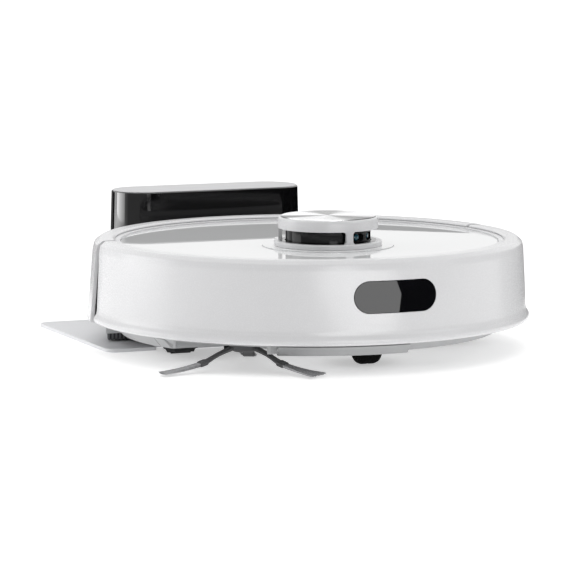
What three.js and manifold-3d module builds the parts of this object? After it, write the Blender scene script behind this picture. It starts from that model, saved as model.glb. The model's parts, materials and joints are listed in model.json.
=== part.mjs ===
// Robot vacuum parked on its charging dock. Millimetres, +Z up.
// The robot faces -Y, its right side is -X, and the dock stands behind it at +Y.
// The origin is on the floor, under the centre of the whole assembly.
import * as THREE from 'three';
import { mergeVertices } from 'three/addons/utils/BufferGeometryUtils.js';
import Module from 'manifold-3d';

const wasm = await Module();
wasm.setup();

// ---------------------------------------------------------------- driving dimensions
const ROBOT_Y = -41.5;            // robot centre, so that the assembly's box is centred
const GAP = 0.4;                  // clearance between pieces that meet
const EDGE = 0.7;                 // bevel on a visible edge
const SHELL = 48;                 // facets round the outer shells, then round smaller circles
const BIG = 36;
const MID = 20;
const SMALL = 12;

const WALL_R = 163;               // inner casing: chassis and upper deck
const WALL_T = 2.5;
const FLOOR_Z = 14;               // underside of the chassis
const FLOOR_R = 149;
const PAD_Z = 12.5;               // raised pad round the castor
const SPLIT_Z = 62;               // seam between chassis and upper deck
const DECK_T = 2.3;
const DECK_Z = 82.9;              // top of the upper deck, under the cover
const RIM_Z = 84.9;               // deck rim, under the top ring
const RIM_BEVEL = 4.2;            // lets the bumper's rounded top edge come back over the rim
const BEZEL_Z = 87.4;             // top of the white ring, the highest part of the shell
const BEZEL_IN_R = 154.6;         // inner edge of the white ring
const COVER_R = 150.2;            // glossy lift-off cover
const COVER_Z = 85;
const COVER_T = 1.8;
const COVER_FIT = 0.8;            // play round the cover
const SEAM_Y = 26;                // the bumper ends here, the rear shell starts behind it
const SEAM_GAP = 3.6;

const TURRET_Y = -38;             // lidar turret
const SKIRT_R = 51.5;
const ISLAND_X = 21;              // half width of the button island behind the turret
const ISLAND_Y = 27.5;
const SKIRT_Z = 86.6;
const BUTTON_X = 10.5;            // two buttons side by side on the island
const BUTTON_Y = 16;
const BUTTON_R = 7.2;
const TURRET_BASE_R = 42.5;
const TURRET_CAP_R = 39.3;
const CAGE_Z0 = 88.4;             // bottom and top of the lidar's window band
const CAGE_Z1 = 98;
const CAGE_IN_R = 36;
const DRUM_R = 33.5;              // spinning lidar drum inside the cage
const CAP_Z = 107;
const HEAD_PULLEY_R = 20;
const MOTOR_PULLEY_R = 5;         // the belt turns the motor pulley four times as fast
const LIDAR_MOTOR_X = 46;
const BELT_Z = 66;

const WHEEL_X = 113;              // drive wheels
const WHEEL_Y = -4;
const WHEEL_R = 35;
const WHEEL_W = 18;
const PIVOT_Y = -50;              // suspension arm pivot, on the wheel motor's axis
const PIVOT_Z = 40;

const CASTOR_Y = -105;            // castor swivel axis
const CASTOR_TRAIL = 8;
const CASTOR_R = 16;
const CASTOR_W = 18;

const BRUSH_Y = -8;               // main brush
const BRUSH_Z = 21.8;
const BRUSH_R = 20.8;
const BRUSH_X = 79;
const SIDE_X = -98;               // side brush hub
const SIDE_Y = -106;
const SIDE_ARM_R = 72;
const SIDE_FIRST_ANGLE = 183;       // degrees, first of three arms

const BIN_X = 62;                 // dustbin, half width and ends
const BIN_Y0 = 44.5;
const BIN_Y1 = 128;
const MOP_Y0 = 57;
const MOP_R = 162;

const DOCK_Y = 229;               // dock tower centre
const TOWER_W = 166;              // tower outline at its top
const TOWER_D = 54;
const TOWER_TOP = 106;
const TOWER_DRAFT = Math.tan(THREE.MathUtils.degToRad(1.6));
const MAT_X = 165;
const MAT_Y0 = 15;
const MAT_Y1 = 188;
const MAT_T = 3;
const MAT_CORNER = 9;
const MAT_TONGUE = 70;            // half width of the tongue under the tower
const MAT_NOTCH_Y = 31;           // wheel notches in the front edge, and their side play
const MAT_PLAY = 2.5;
const CONTACT_X = 28;
const CONTACT_Z = 40;

// ---------------------------------------------------------------- materials
function plastic(color, roughness) {
  return new THREE.MeshStandardMaterial({ color, roughness, metalness: 0 });
}
function metal(color, roughness) {
  return new THREE.MeshStandardMaterial({ color, roughness, metalness: 1 });
}
const whiteShell = () => plastic(0xe9e9ea, 0.32);
const whiteGloss = () => plastic(0xeef0f1, 0.08);
const greyUnder = () => plastic(0xc4c5c7, 0.55);
const innerGrey = () => plastic(0x6c6f73, 0.6);
const blackGloss = () => plastic(0x0b0b0d, 0.12);
const blackMatte = () => plastic(0x1c1c1e, 0.6);
const rubber = () => plastic(0x232325, 0.85);
const steel = () => metal(0xc9cacc, 0.3);
const brass = () => metal(0xc8a45a, 0.35);
const board = () => plastic(0x1f5a3a, 0.5);

// ---------------------------------------------------------------- solids
// A closed three.js geometry becomes a manifold solid with its faces pointing out.
function solid(geometry) {
  geometry.deleteAttribute('normal');
  geometry.deleteAttribute('uv');
  const merged = mergeVertices(geometry, 1e-4);
  const points = merged.getAttribute('position').array;
  const corners = [];
  const source = merged.index.array;
  const a = new THREE.Vector3();
  const b = new THREE.Vector3();
  const c = new THREE.Vector3();
  let volume = 0;
  for (let i = 0; i < source.length; i += 3) {
    const [p, q, r] = [source[i], source[i + 1], source[i + 2]];
    if (p === q || q === r || r === p) {
      continue;
    }
    corners.push([p, q, r]);
    a.fromArray(points, 3 * p);
    b.fromArray(points, 3 * q).cross(c.fromArray(points, 3 * r));
    volume += a.dot(b);
  }
  const ordered = volume < 0 ? corners.map(([p, q, r]) => [p, r, q]) : corners;
  return new wasm.Manifold(new wasm.Mesh({
    numProp: 3,
    vertProperties: new Float32Array(points),
    triVerts: new Uint32Array(ordered.flat()),
  }));
}

function join(first, ...others) {
  return others.reduce((sum, other) => sum.add(other), first);
}

function cut(first, ...tools) {
  return tools.reduce((rest, tool) => rest.subtract(tool), first);
}

function box(x0, x1, y0, y1, z0, z1) {
  const geometry = new THREE.BoxGeometry(x1 - x0, y1 - y0, z1 - z0);
  return solid(geometry.translate((x0 + x1) / 2, (y0 + y1) / 2, (z0 + z1) / 2));
}

// A profile of [radius, z] points turned about the Z axis.
function turned(profile, facets = BIG, x = 0, y = 0) {
  const points = [...profile, profile[0]].map(([r, z]) => new THREE.Vector2(r, z));
  const geometry = new THREE.LatheGeometry(points, facets);
  return solid(geometry.rotateX(Math.PI / 2).translate(x, y, 0));
}

function disc(r, z0, z1, x = 0, y = 0, facets = SMALL) {
  const geometry = new THREE.CylinderGeometry(r, r, z1 - z0, facets);
  return solid(geometry.rotateX(Math.PI / 2).translate(x, y, (z0 + z1) / 2));
}

function rodX(r, x0, x1, y, z, facets = SMALL) {
  const geometry = new THREE.CylinderGeometry(r, r, x1 - x0, facets);
  return solid(geometry.rotateZ(Math.PI / 2).translate((x0 + x1) / 2, y, z));
}

function rodY(r, y0, y1, x, z, facets = SMALL) {
  const geometry = new THREE.CylinderGeometry(r, r, y1 - y0, facets);
  return solid(geometry.translate(x, (y0 + y1) / 2, z));
}

// Outlines. In prismX an outline is (y, z), in prismY it is (x, z).
function outlineRect(x0, x1, y0, y1, r) {
  const shape = new THREE.Shape();
  shape.absarc(x1 - r, y1 - r, r, 0, Math.PI / 2);
  shape.absarc(x0 + r, y1 - r, r, Math.PI / 2, Math.PI);
  shape.absarc(x0 + r, y0 + r, r, Math.PI, 1.5 * Math.PI);
  shape.absarc(x1 - r, y0 + r, r, 1.5 * Math.PI, 2 * Math.PI);
  return shape;
}

// The tight outline round two circles, as a belt lies round two pulleys.
function outlineBelt(x0, y0, r0, x1, y1, r1) {
  const along = Math.atan2(y1 - y0, x1 - x0);
  const lean = Math.acos((r0 - r1) / Math.hypot(x1 - x0, y1 - y0));
  const shape = new THREE.Shape();
  shape.absarc(x0, y0, r0, along + lean, along - lean + 2 * Math.PI);
  shape.absarc(x1, y1, r1, along - lean, along + lean);
  return shape;
}

function prism(shape, z0, z1, curveSegments = 6) {
  const geometry = new THREE.ExtrudeGeometry(shape, { depth: z1 - z0, bevelEnabled: false, curveSegments });
  return solid(geometry.translate(0, 0, z0));
}

function prismX(shape, x0, x1, curveSegments = 6) {
  const geometry = new THREE.ExtrudeGeometry(shape, { depth: x1 - x0, bevelEnabled: false, curveSegments });
  const axes = new THREE.Matrix4().set(0, 0, 1, x0, 1, 0, 0, 0, 0, 1, 0, 0, 0, 0, 0, 1);
  return solid(geometry.applyMatrix4(axes));
}

function prismY(shape, y0, y1, curveSegments = 6) {
  const geometry = new THREE.ExtrudeGeometry(shape, { depth: y1 - y0, bevelEnabled: false, curveSegments });
  const axes = new THREE.Matrix4().set(1, 0, 0, 0, 0, 0, 1, y0, 0, 1, 0, 0, 0, 0, 0, 1);
  return solid(geometry.applyMatrix4(axes));
}

// ---------------------------------------------------------------- scene graph
const assembly = new THREE.Group();
const robot = new THREE.Group();
robot.position.y = ROBOT_Y;
const dock = new THREE.Group();
dock.position.y = ROBOT_Y;
assembly.add(robot, dock);

function piece(parent, name, shape, material) {
  const { vertProperties, triVerts } = shape.getMesh();
  const geometry = new THREE.BufferGeometry();
  geometry.setAttribute('position', new THREE.BufferAttribute(new Float32Array(vertProperties), 3));
  geometry.setIndex(new THREE.BufferAttribute(new Uint32Array(triVerts), 1));
  geometry.computeVertexNormals();
  const mesh = new THREE.Mesh(geometry, material);
  mesh.name = name;
  parent.add(mesh);
  return mesh;
}

// ---------------------------------------------------------------- chassis
const BAY = { x: 82, y0: BRUSH_Y - 25, y1: BRUSH_Y + 25, top: 46, wall: 2 };
const DUCT = { x: 35, z0: 26, z1: 42, wall: 2 };
const WELL = { x0: 86, x1: 125, y0: -47.5, y1: 34, top: 73 };
const POCKET_TOP = 20.5;
const RECESS_R = 26.6;
const WELL_PAD = { z: 11.8, y0: -57.4, y1: 42 };
const SENSOR = { x: 37, z0: 48, z1: 70, open: 2 };

function brushPocket(extra, z0, z1) {
  const round = disc(29 + extra, z0, z1, SIDE_X, SIDE_Y, MID);
  return round.add(disc(26 + extra, z0, z1, SIDE_X - 20, SIDE_Y + 22, MID));
}

function wheelHood(side) {
  const shell = cut(
    box(102, WELL.x1 + 1.6, WELL.y0 - 2, WELL.y1 + 2, FLOOR_Z + 0.5, WELL.top + 2),
    box(101, WELL.x1, WELL.y0, WELL.y1, FLOOR_Z - 1, WELL.top),
  );
  const bracket = box(102.5, 105, PIVOT_Y - 7, PIVOT_Y + 4.3, FLOOR_Z + 1, PIVOT_Z + 8);
  const bore = rodX(3.3, 101, 106, PIVOT_Y, PIVOT_Z);
  const hood = join(shell, bracket).subtract(bore);
  return side > 0 ? hood : hood.mirror([1, 0, 0]);
}

function wellPad(x0, x1) {
  const { z, y0, y1 } = WELL_PAD;
  return turned([[0, z], [150, z], [157, z + 7.7], [156, z + 7.7], [149, z + 3.2], [0, z + 3.2]])
    .intersect(box(x0, x1, y0, y1, z - 1, z + 9));
}

function sensorOpening() {
  const { x, z0, z1, open } = SENSOR;
  return box(-x - open, x + open, -WALL_R - 5, -WALL_R + 25, z0 - open, z1 + open);
}

function chassis() {
  const pan = turned([
    [0, FLOOR_Z], [FLOOR_R, FLOOR_Z], [WALL_R, FLOOR_Z + 11.5], [WALL_R, SPLIT_Z],
    [WALL_R - WALL_T, SPLIT_Z], [WALL_R - WALL_T, FLOOR_Z + 13],
    [FLOOR_R - 1, FLOOR_Z + WALL_T], [0, FLOOR_Z + WALL_T],
  ]);
  const pad = turned([[0, PAD_Z], [152, PAD_Z], [158, PAD_Z + 7.5], [157, PAD_Z + 7.5], [0, PAD_Z + 3]])
    .intersect(box(-82, 18, -170, -72, PAD_Z - 1, PAD_Z + 9));
  const pocketHood = brushPocket(2, FLOOR_Z + 1, POCKET_TOP + 2)
    .intersect(disc(WALL_R - 1, 0, 60, 0, 0, BIG));
  const castorHood = disc(RECESS_R + 2.4, PAD_Z + 1, 41.5, 0, CASTOR_Y, MID);
  const openings = [
    bayBlock(BAY.wall + GAP, 0, FLOOR_Z + 2 * WALL_T),
    brushPocket(0, 0, POCKET_TOP),
    disc(3.4, POCKET_TOP - 1, POCKET_TOP + 3, SIDE_X, SIDE_Y),
    disc(RECESS_R, 0, 39, 0, CASTOR_Y, MID),
    disc(4.5, 38, 43, 0, CASTOR_Y),
    box(WELL.x0, WELL.x1, WELL.y0, WELL.y1, 0, FLOOR_Z + 3),
    box(-WELL.x1, -WELL.x0, WELL.y0, WELL.y1, 0, FLOOR_Z + 3),
    sensorOpening(),
  ];
  const wellPads = [wellPad(WELL.x0, WALL_R), wellPad(-WALL_R, -WELL.x0)];
  const body = cut(join(pan, pad, pocketHood, castorHood, ...wellPads), ...openings);
  return join(body, wheelHood(1), wheelHood(-1));
}
piece(robot, 'chassis', chassis(), greyUnder());

// The brush bay stands in the chassis floor, and its duct leads back to the dustbin.
function bayBlock(extra, z0, z1) {
  return box(-BAY.x - extra, BAY.x + extra, BAY.y0 - extra, BAY.y1 + extra, z0, z1);
}

function brushBay() {
  const { x, z0, z1, wall } = DUCT;
  const duct = box(-x - wall, x + wall, BAY.y1 + 1, BIN_Y0 - 1, z0 - wall, z1 + wall);
  return cut(
    join(bayBlock(BAY.wall, FLOOR_Z, BAY.top + BAY.wall), duct),
    bayBlock(0, 0, BAY.top),
    box(-x, x, BAY.y1 - 1, BIN_Y0, z0, z1),
    rodX(4, -BAY.x - 3, BAY.x + 3, BRUSH_Y, BRUSH_Z),
  );
}
piece(robot, 'brush_bay', brushBay(), innerGrey());

// ---------------------------------------------------------------- upper deck and shells
function upperDeck() {
  const cap = turned([
    [0, DECK_Z - DECK_T], [WALL_R - WALL_T - RIM_BEVEL, DECK_Z - DECK_T],
    [WALL_R - WALL_T, RIM_Z - 2 * RIM_BEVEL], [WALL_R - WALL_T, SPLIT_Z + GAP], [WALL_R, SPLIT_Z + GAP],
    [WALL_R, RIM_Z - RIM_BEVEL], [WALL_R - RIM_BEVEL, RIM_Z],
    [COVER_R + COVER_FIT, RIM_Z], [COVER_R + COVER_FIT, DECK_Z], [0, DECK_Z],
  ]);
  return cut(
    cap,
    disc(16, 78, 86, 0, TURRET_Y, MID),
    box(-BIN_X - 1, BIN_X + 1, BIN_Y0 - 1, BIN_Y1 + 1, 78, 86),
    disc(3.6, 78, 86, -BUTTON_X, BUTTON_Y),
    disc(3.6, 78, 86, BUTTON_X, BUTTON_Y),
    sensorOpening(),
  );
}
piece(robot, 'upper_deck', upperDeck(), innerGrey());

// Outer surface of the wall: a lip at the bottom, a slight draft and a rounded top edge.
const bumperProfile = [
  [167.5, 23], [173.4, 23], [175, 25], [175, 27.5], [172.5, 32.8], [170.1, 80], [168.8, 85],
  [165, BEZEL_Z], [156.4, BEZEL_Z], [BEZEL_IN_R, 86.2], [BEZEL_IN_R, 85.4], [164.6, 85.4],
  [167.2, 82.5], [169.9, 34], [171.8, 28], [171.8, 25.4], [167.5, 25.4],
];
const rearProfile = [
  [164, 23], [176.4, 23], [177.5, 24.2], [172.4, 78], [170.6, 85], [166, BEZEL_Z], [156.4, BEZEL_Z],
  [BEZEL_IN_R, 86.2], [BEZEL_IN_R, 85.3], [165.8, 85.3], [168.8, 82.5], [173.8, 27], [164, 25.4],
];
const WINDOW = { half: 33.7, z: 59.1, height: 24 };

function windowOutline(extra) {
  const { half, z, height } = WINDOW;
  const r = height / 2 + extra;
  return outlineRect(-half - extra, half + extra, z - r, z + r, r - 0.01);
}

function bumper() {
  const front = turned(bumperProfile, SHELL).intersect(box(-200, 200, -200, SEAM_Y, 0, 120));
  return front.subtract(prismY(windowOutline(0.35), -200, -120, 10));
}
piece(robot, 'bumper', bumper(), whiteShell());

function bumperWindow() {
  const skin = turned([[171.9, 40], [170.2, 78], [168, 78], [169.6, 40]], SHELL);
  return skin.intersect(prismY(windowOutline(0), -200, -120, 10));
}
piece(robot, 'bumper_window', bumperWindow(), blackGloss());

function contactPad(y0, y1, grow) {
  return box(-8 - grow, 8 + grow, y0, y1, CONTACT_Z - 6 - grow, CONTACT_Z + 6 + grow);
}
const CONTACT_R = 175.2;
const contactTurn = Math.asin(CONTACT_X / CONTACT_R);

function rearShell() {
  const back = turned(rearProfile, SHELL).intersect(box(-200, 200, SEAM_Y + SEAM_GAP, 200, 0, 120));
  const openings = [1, -1].map((side) =>
    contactPad(160, 190, GAP).rotate([0, 0, -side * THREE.MathUtils.radToDeg(contactTurn)]));
  for (let row = 0; row < 4; row += 1) {
    const slot = box(118, 190, 74, 116, 38 + 8 * row, 41.5 + 8 * row);
    openings.push(slot);
  }
  return cut(back, ...openings);
}
piece(robot, 'rear_shell', rearShell(), whiteShell());

['right', 'left'].forEach((name, i) => {
  const side = i === 0 ? -1 : 1;
  const pad = piece(robot, `charge_contact_${name}`, contactPad(CONTACT_R - 3.2, CONTACT_R, 0), steel());
  pad.rotation.z = -side * contactTurn;
});

// ---------------------------------------------------------------- cover, turret and lidar
function keyhole(radius, islandX, islandY, z0, z1) {
  const island = prism(outlineRect(-islandX, islandX, TURRET_Y, islandY, 9), z0, z1);
  return disc(radius, z0, z1, 0, TURRET_Y, BIG).add(island);
}

function topCover() {
  const plate = turned([
    [0, COVER_Z - COVER_T], [COVER_R, COVER_Z - COVER_T], [COVER_R, COVER_Z - EDGE],
    [COVER_R - EDGE, COVER_Z], [0, COVER_Z],
  ], SHELL);
  const hole = keyhole(
    SKIRT_R + COVER_FIT,
    ISLAND_X + COVER_FIT,
    ISLAND_Y + COVER_FIT,
    COVER_Z - 4,
    COVER_Z + 2,
  );
  return plate.subtract(hole);
}
piece(robot, 'top_cover', topCover(), whiteGloss());

function turretSkirt() {
  const body = keyhole(SKIRT_R, ISLAND_X, ISLAND_Y, DECK_Z + GAP, SKIRT_Z);
  return cut(
    body,
    disc(35.5, DECK_Z - 1, SKIRT_Z + 1, 0, TURRET_Y, MID),
    disc(BUTTON_R + 0.4, DECK_Z - 1, SKIRT_Z + 1, -BUTTON_X, BUTTON_Y, MID),
    disc(BUTTON_R + 0.4, DECK_Z - 1, SKIRT_Z + 1, BUTTON_X, BUTTON_Y, MID),
  );
}
piece(robot, 'turret_skirt', turretSkirt(), whiteGloss());

['power_button', 'home_button'].forEach((name, i) => {
  const x = i === 0 ? BUTTON_X : -BUTTON_X;
  const cap = disc(BUTTON_R, DECK_Z + 1.4, SKIRT_Z + 0.2, x, BUTTON_Y, MID);
  piece(robot, name, cap.add(disc(3, 77, DECK_Z + 2, x, BUTTON_Y)), whiteGloss());
});

const POST_ANGLES = [272.9, 32.9, 152.9];    // degrees, the three posts of the cage
const POST_ARC = 11;

function turretCap() {
  const ring = turned([
    [CAGE_IN_R, SKIRT_Z + GAP], [TURRET_BASE_R, SKIRT_Z + GAP], [TURRET_BASE_R, CAGE_Z0 - EDGE],
    [TURRET_BASE_R - EDGE, CAGE_Z0], [CAGE_IN_R, CAGE_Z0],
  ], BIG, 0, TURRET_Y);
  const crown = turned([
    [0, CAP_Z - 2.4], [34.5, CAP_Z - 2.4], [35.6, CAGE_Z1], [TURRET_CAP_R, CAGE_Z1],
    [TURRET_CAP_R, CAP_Z - 1.8],
    [38.6, CAP_Z - 0.5], [37.7, CAP_Z], [37.5, CAP_Z], [37.5, CAP_Z - 0.8], [0, CAP_Z - 0.8],
  ], BIG, 0, TURRET_Y);
  const posts = POST_ANGLES.map((angle) => {
    const wedge = outlineSector(POST_ARC / 2, 60);
    const low = CAGE_Z0 - 0.6;
    const high = CAGE_Z1 + 0.6;
    const sleeve = turned([[36.4, low], [39.1, low], [39.1, high], [36.4, high]]);
    return sleeve.intersect(prism(wedge, 80, 110).rotate([0, 0, angle])).translate([0, TURRET_Y, 0]);
  });
  return join(ring, crown, ...posts);
}

function outlineSector(halfAngle, radius) {
  const half = THREE.MathUtils.degToRad(halfAngle);
  const shape = new THREE.Shape();
  shape.moveTo(0, 0);
  shape.lineTo(radius * Math.cos(half), -radius * Math.sin(half));
  shape.lineTo(radius * Math.cos(half), radius * Math.sin(half));
  return shape;
}
piece(robot, 'turret_cap', turretCap(), whiteShell());

const discPlate = disc(37.1, CAP_Z - GAP, CAP_Z + 0.8, 0, TURRET_Y, BIG);
piece(robot, 'turret_disc', discPlate, steel());

function lidarHead() {
  const drum = turned([
    [0, CAGE_Z0 - 3], [DRUM_R - 3.5, CAGE_Z0 - 3], [DRUM_R, CAGE_Z0 - 1],
    [DRUM_R, CAGE_Z1 - 1], [DRUM_R - 1, CAGE_Z1], [0, CAGE_Z1],
  ], MID, 0, TURRET_Y);
  const neck = disc(11.5, BELT_Z + 3.6, CAGE_Z0 - 2, 0, TURRET_Y, MID);
  return join(drum, neck, disc(HEAD_PULLEY_R, BELT_Z, BELT_Z + 4, 0, TURRET_Y, MID));
}
piece(robot, 'lidar_head', lidarHead(), blackMatte());

function lidarBase() {
  const plate = prism(outlineBelt(0, TURRET_Y, 28, LIDAR_MOTOR_X, TURRET_Y, 13), 76, 79.8);
  const seat = disc(15.4, 79, DECK_Z + 1, 0, TURRET_Y, MID);
  return join(plate, seat).subtract(disc(12, 70, 90, 0, TURRET_Y, MID));
}
piece(robot, 'lidar_base', lidarBase(), blackMatte());

const lidarMotor = cut(
  disc(11, 48.6, BELT_Z - 1.5, LIDAR_MOTOR_X, TURRET_Y, MID),
  disc(1.6, 57, 70, LIDAR_MOTOR_X, TURRET_Y, 12),
);
piece(robot, 'lidar_motor', lidarMotor, steel());

const motorPulley = join(
  disc(MOTOR_PULLEY_R, BELT_Z, BELT_Z + 4, LIDAR_MOTOR_X, TURRET_Y),
  disc(1.2, 58, BELT_Z + 1, LIDAR_MOTOR_X, TURRET_Y, 12),
);
piece(robot, 'lidar_pulley', motorPulley, brass());

function lidarBelt() {
  const loop = (extra) => outlineBelt(
    0, TURRET_Y, HEAD_PULLEY_R + extra, LIDAR_MOTOR_X, TURRET_Y, MOTOR_PULLEY_R + extra);
  const outer = prism(loop(1.5), BELT_Z + 0.8, BELT_Z + 3.2, 16);
  return outer.subtract(prism(loop(GAP), BELT_Z, BELT_Z + 4, 16));
}
piece(robot, 'lidar_belt', lidarBelt(), rubber());

// ---------------------------------------------------------------- electronics and power
function sensorModule() {
  const { x, z0, z1 } = SENSOR;
  const front = -160;
  const lens = (cx, r) => rodY(r, front - 3, front + 1, cx, WINDOW.z);
  return join(box(-x, x, front, front + 12, z0, z1), lens(-18, 6), lens(4, 4.5), lens(22, 4.5));
}
piece(robot, 'sensor_module', sensorModule(), blackMatte());

const SWITCH_R = 166;             // front face of the bumper switches
const SWITCH_ANGLE = 50;
['right', 'left'].forEach((name, i) => {
  const side = i === 0 ? -1 : 1;
  const body = box(-7, 7, -SWITCH_R, -WALL_R - 2 * GAP, 40, 47);
  const holder = new THREE.Group();
  holder.rotation.z = THREE.MathUtils.degToRad(side * SWITCH_ANGLE);
  robot.add(holder);
  piece(holder, `bumper_switch_${name}`, body, blackMatte());
});

function mainBoard() {
  const chips = [
    [-60, -110, 14, 5], [-20, -96, 18, 3], [8, -84, 10, 8], [-52, -78, 12, 9], [12, -112, 9, 10],
  ];
  const parts = chips.map(([x, y, half, high]) => box(x - half, x + half, y - 8, y + 8, 61, 61.6 + high));
  return join(box(-80, 30, -126, -64, 60, 61.6), ...parts);
}
piece(robot, 'main_board', mainBoard(), board());

piece(robot, 'battery', prismX(outlineRect(-118, -68, 18, 56, 4), 32, 92, 3), blackMatte());

const SPEAKER = { x: -98, y: 78 };
piece(robot, 'speaker', disc(20, 17, 31, SPEAKER.x, SPEAKER.y, MID), blackMatte());

// ---------------------------------------------------------------- cleaning
function mainBrush() {
  const star = new THREE.Shape();
  const blades = 6;
  const core = 10;
  for (let i = 0; i < blades; i += 1) {
    const mid = (i * 2 * Math.PI) / blades;
    const points = [[core, -0.42], [core, -0.2], [BRUSH_R, -0.06], [BRUSH_R, 0.06], [core, 0.2]];
    points.forEach(([r, turn], k) => {
      const place = [r * Math.cos(mid + turn), r * Math.sin(mid + turn)];
      if (i === 0 && k === 0) star.moveTo(...place);
      else star.lineTo(...place);
    });
  }
  const rotor = prismX(star, -BRUSH_X, BRUSH_X).translate([0, BRUSH_Y, BRUSH_Z]);
  return rotor.add(rodX(3.5, -BAY.x - 1.6, BAY.x + 1.6, BRUSH_Y, BRUSH_Z));
}
piece(robot, 'main_brush', mainBrush(), rubber());

const guardFrame = cut(
  prism(outlineRect(-86, 86, BAY.y0 - 5, BAY.y1 + 5, 5), 9.5, FLOOR_Z - GAP),
  box(-80.5, 80.5, BRUSH_Y - 21.5, BRUSH_Y + 21.5, 5, 20),
);
piece(robot, 'brush_guard', guardFrame, innerGrey());

function mainBrushMotor() {
  const gearcase = prismX(outlineBelt(BRUSH_Y, BRUSH_Z, 5, 28, 60, 13), BAY.x + 2 + GAP, 87.4, 8);
  return gearcase.add(rodX(12, 55, 86, 28, 60, MID));
}
piece(robot, 'main_brush_motor', mainBrushMotor(), blackMatte());

piece(robot, 'side_brush_hub', join(
  turned([[0, 14.2], [7, 14.2], [11.5, 16], [12, 19.6], [0, 19.6]], SMALL, SIDE_X, SIDE_Y),
  disc(3, 19, 26, SIDE_X, SIDE_Y),
), rubber());

const ARM_START = 12.5;
function sideBrushArm() {
  const path = new THREE.CatmullRomCurve3([
    new THREE.Vector3(ARM_START, 0, 16.4), new THREE.Vector3(22, 0, 13), new THREE.Vector3(32, 0, 8),
    new THREE.Vector3(50, 0, 4.2), new THREE.Vector3(SIDE_ARM_R, 0, 3),
  ]);
  const section = new THREE.Shape([
    new THREE.Vector2(-3.4, -1.2),
    new THREE.Vector2(3.4, -1.2),
    new THREE.Vector2(3.4, 1.2),
    new THREE.Vector2(-3.4, 1.2),
  ]);
  const ribbon = new THREE.ExtrudeGeometry(section, { steps: 10, extrudePath: path });
  const place = ribbon.getAttribute('position');
  for (let i = 0; i < place.count; i += 1) {
    const along = (place.getX(i) - ARM_START) / (SIDE_ARM_R - ARM_START);
    place.setY(i, place.getY(i) * (along < 0.35 ? 1.1 : 0.5 + 1.3 * (along - 0.35)));
  }
  return solid(ribbon);
}
for (let i = 0; i < 3; i += 1) {
  const arm = piece(robot, `side_brush_arm_${i + 1}`, sideBrushArm(), rubber());
  arm.position.set(SIDE_X, SIDE_Y, 0);
  arm.rotation.z = THREE.MathUtils.degToRad(SIDE_FIRST_ANGLE + 120 * i);
}

const sideGearcase = join(
  prism(outlineBelt(SIDE_X, SIDE_Y, 9, SIDE_X + 17, SIDE_Y + 15, 13), POCKET_TOP + 2 + GAP, 38),
  disc(11, 37, 56, SIDE_X + 17, SIDE_Y + 15, MID),
).subtract(disc(3.4, POCKET_TOP, 27, SIDE_X, SIDE_Y));
piece(robot, 'side_brush_motor', sideGearcase, blackMatte());

function dustbin() {
  const wall = 1.8;
  const body = prism(outlineRect(-BIN_X, BIN_X, BIN_Y0, BIN_Y1, 6), 17, 70, 3);
  const hollow = outlineRect(-BIN_X + wall, BIN_X - wall, BIN_Y0 + wall, BIN_Y1 - wall, 4.2);
  const inside = prism(hollow, 19, 72, 3);
  const inlet = box(-34, 34, BIN_Y0 - 1, BIN_Y0 + 3, 27, 41);
  const outlet = rodX(12, BIN_X - 3, BIN_X + 2, 85, 46);
  return cut(body, inside, inlet, outlet);
}
piece(robot, 'dustbin', dustbin(), innerGrey());

function dustbinLid() {
  const plate = prism(outlineRect(-BIN_X, BIN_X, BIN_Y0, BIN_Y1, 6), 70 + GAP, 80, 3);
  const recess = box(-30, 30, 68, 106, 71.8, 82);
  const bar = box(-31, 31, 83, 91, 76.8, 79.8);
  return plate.subtract(recess).add(bar);
}
piece(robot, 'dustbin_lid', dustbinLid(), innerGrey());
piece(robot, 'dustbin_filter', box(53, 59.6, 60, 112, 24, 66), plastic(0xf0f0ec, 0.9));

const FAN = { y: 85, z: 46, x0: 63, x1: 104 };
function fanHousing() {
  const can = rodX(24, FAN.x0, FAN.x1, FAN.y, FAN.z, MID);
  return cut(
    can,
    rodX(22, FAN.x0 + 2, FAN.x1 - 2, FAN.y, FAN.z, MID),
    rodX(12, FAN.x0 - 1, FAN.x0 + 3, FAN.y, FAN.z),
    rodX(14, FAN.x1 - 3, FAN.x1 + 1, FAN.y, FAN.z),
  );
}
piece(robot, 'fan_housing', fanHousing(), blackMatte());

function fanImpeller() {
  const blades = [];
  for (let i = 0; i < 7; i += 1) {
    const blade = box(FAN.x0 + 5, FAN.x0 + 13, 5, 19.5, -0.8, 0.8);
    blades.push(blade.rotate([(i * 360) / 7, 0, 0]).translate([0, FAN.y, FAN.z]));
  }
  const backplate = rodX(20, FAN.x0 + 12, FAN.x0 + 14, FAN.y, FAN.z, MID);
  return join(backplate, rodX(6, FAN.x0 + 4, FAN.x0 + 36, FAN.y, FAN.z), ...blades);
}
piece(robot, 'fan_impeller', fanImpeller(), blackMatte());

function mopHalf(radius, front, z0, z1) {
  return disc(radius, z0, z1, 0, 0, BIG).intersect(box(-200, 200, front, 200, 0, 20));
}
piece(robot, 'mop_bracket', mopHalf(MOP_R, MOP_Y0, 7.1, FLOOR_Z - GAP), greyUnder());
piece(robot, 'mop_cloth', mopHalf(MOP_R - 1, MOP_Y0 + 1, MAT_T + GAP, 7.1 - 0.3), plastic(0x4a4a4c, 0.95));

// ---------------------------------------------------------------- castor
// The fork's cheeks hold the axle.
const castorFork = cut(
  join(
    disc(RECESS_R - 1.1, PAD_Z + 0.5, 36, 0, CASTOR_Y, MID),
    disc(4, 35, 47, 0, CASTOR_Y),
  ),
  box(-CASTOR_W / 2 - 0.8, CASTOR_W / 2 + 0.8, -160, CASTOR_Y - CASTOR_TRAIL + CASTOR_R + 1.2, 0, 33.5),
).add(rodX(2, -14, 14, CASTOR_Y - CASTOR_TRAIL, CASTOR_R, 12));
piece(robot, 'castor_fork', castorFork, blackMatte());

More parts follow.
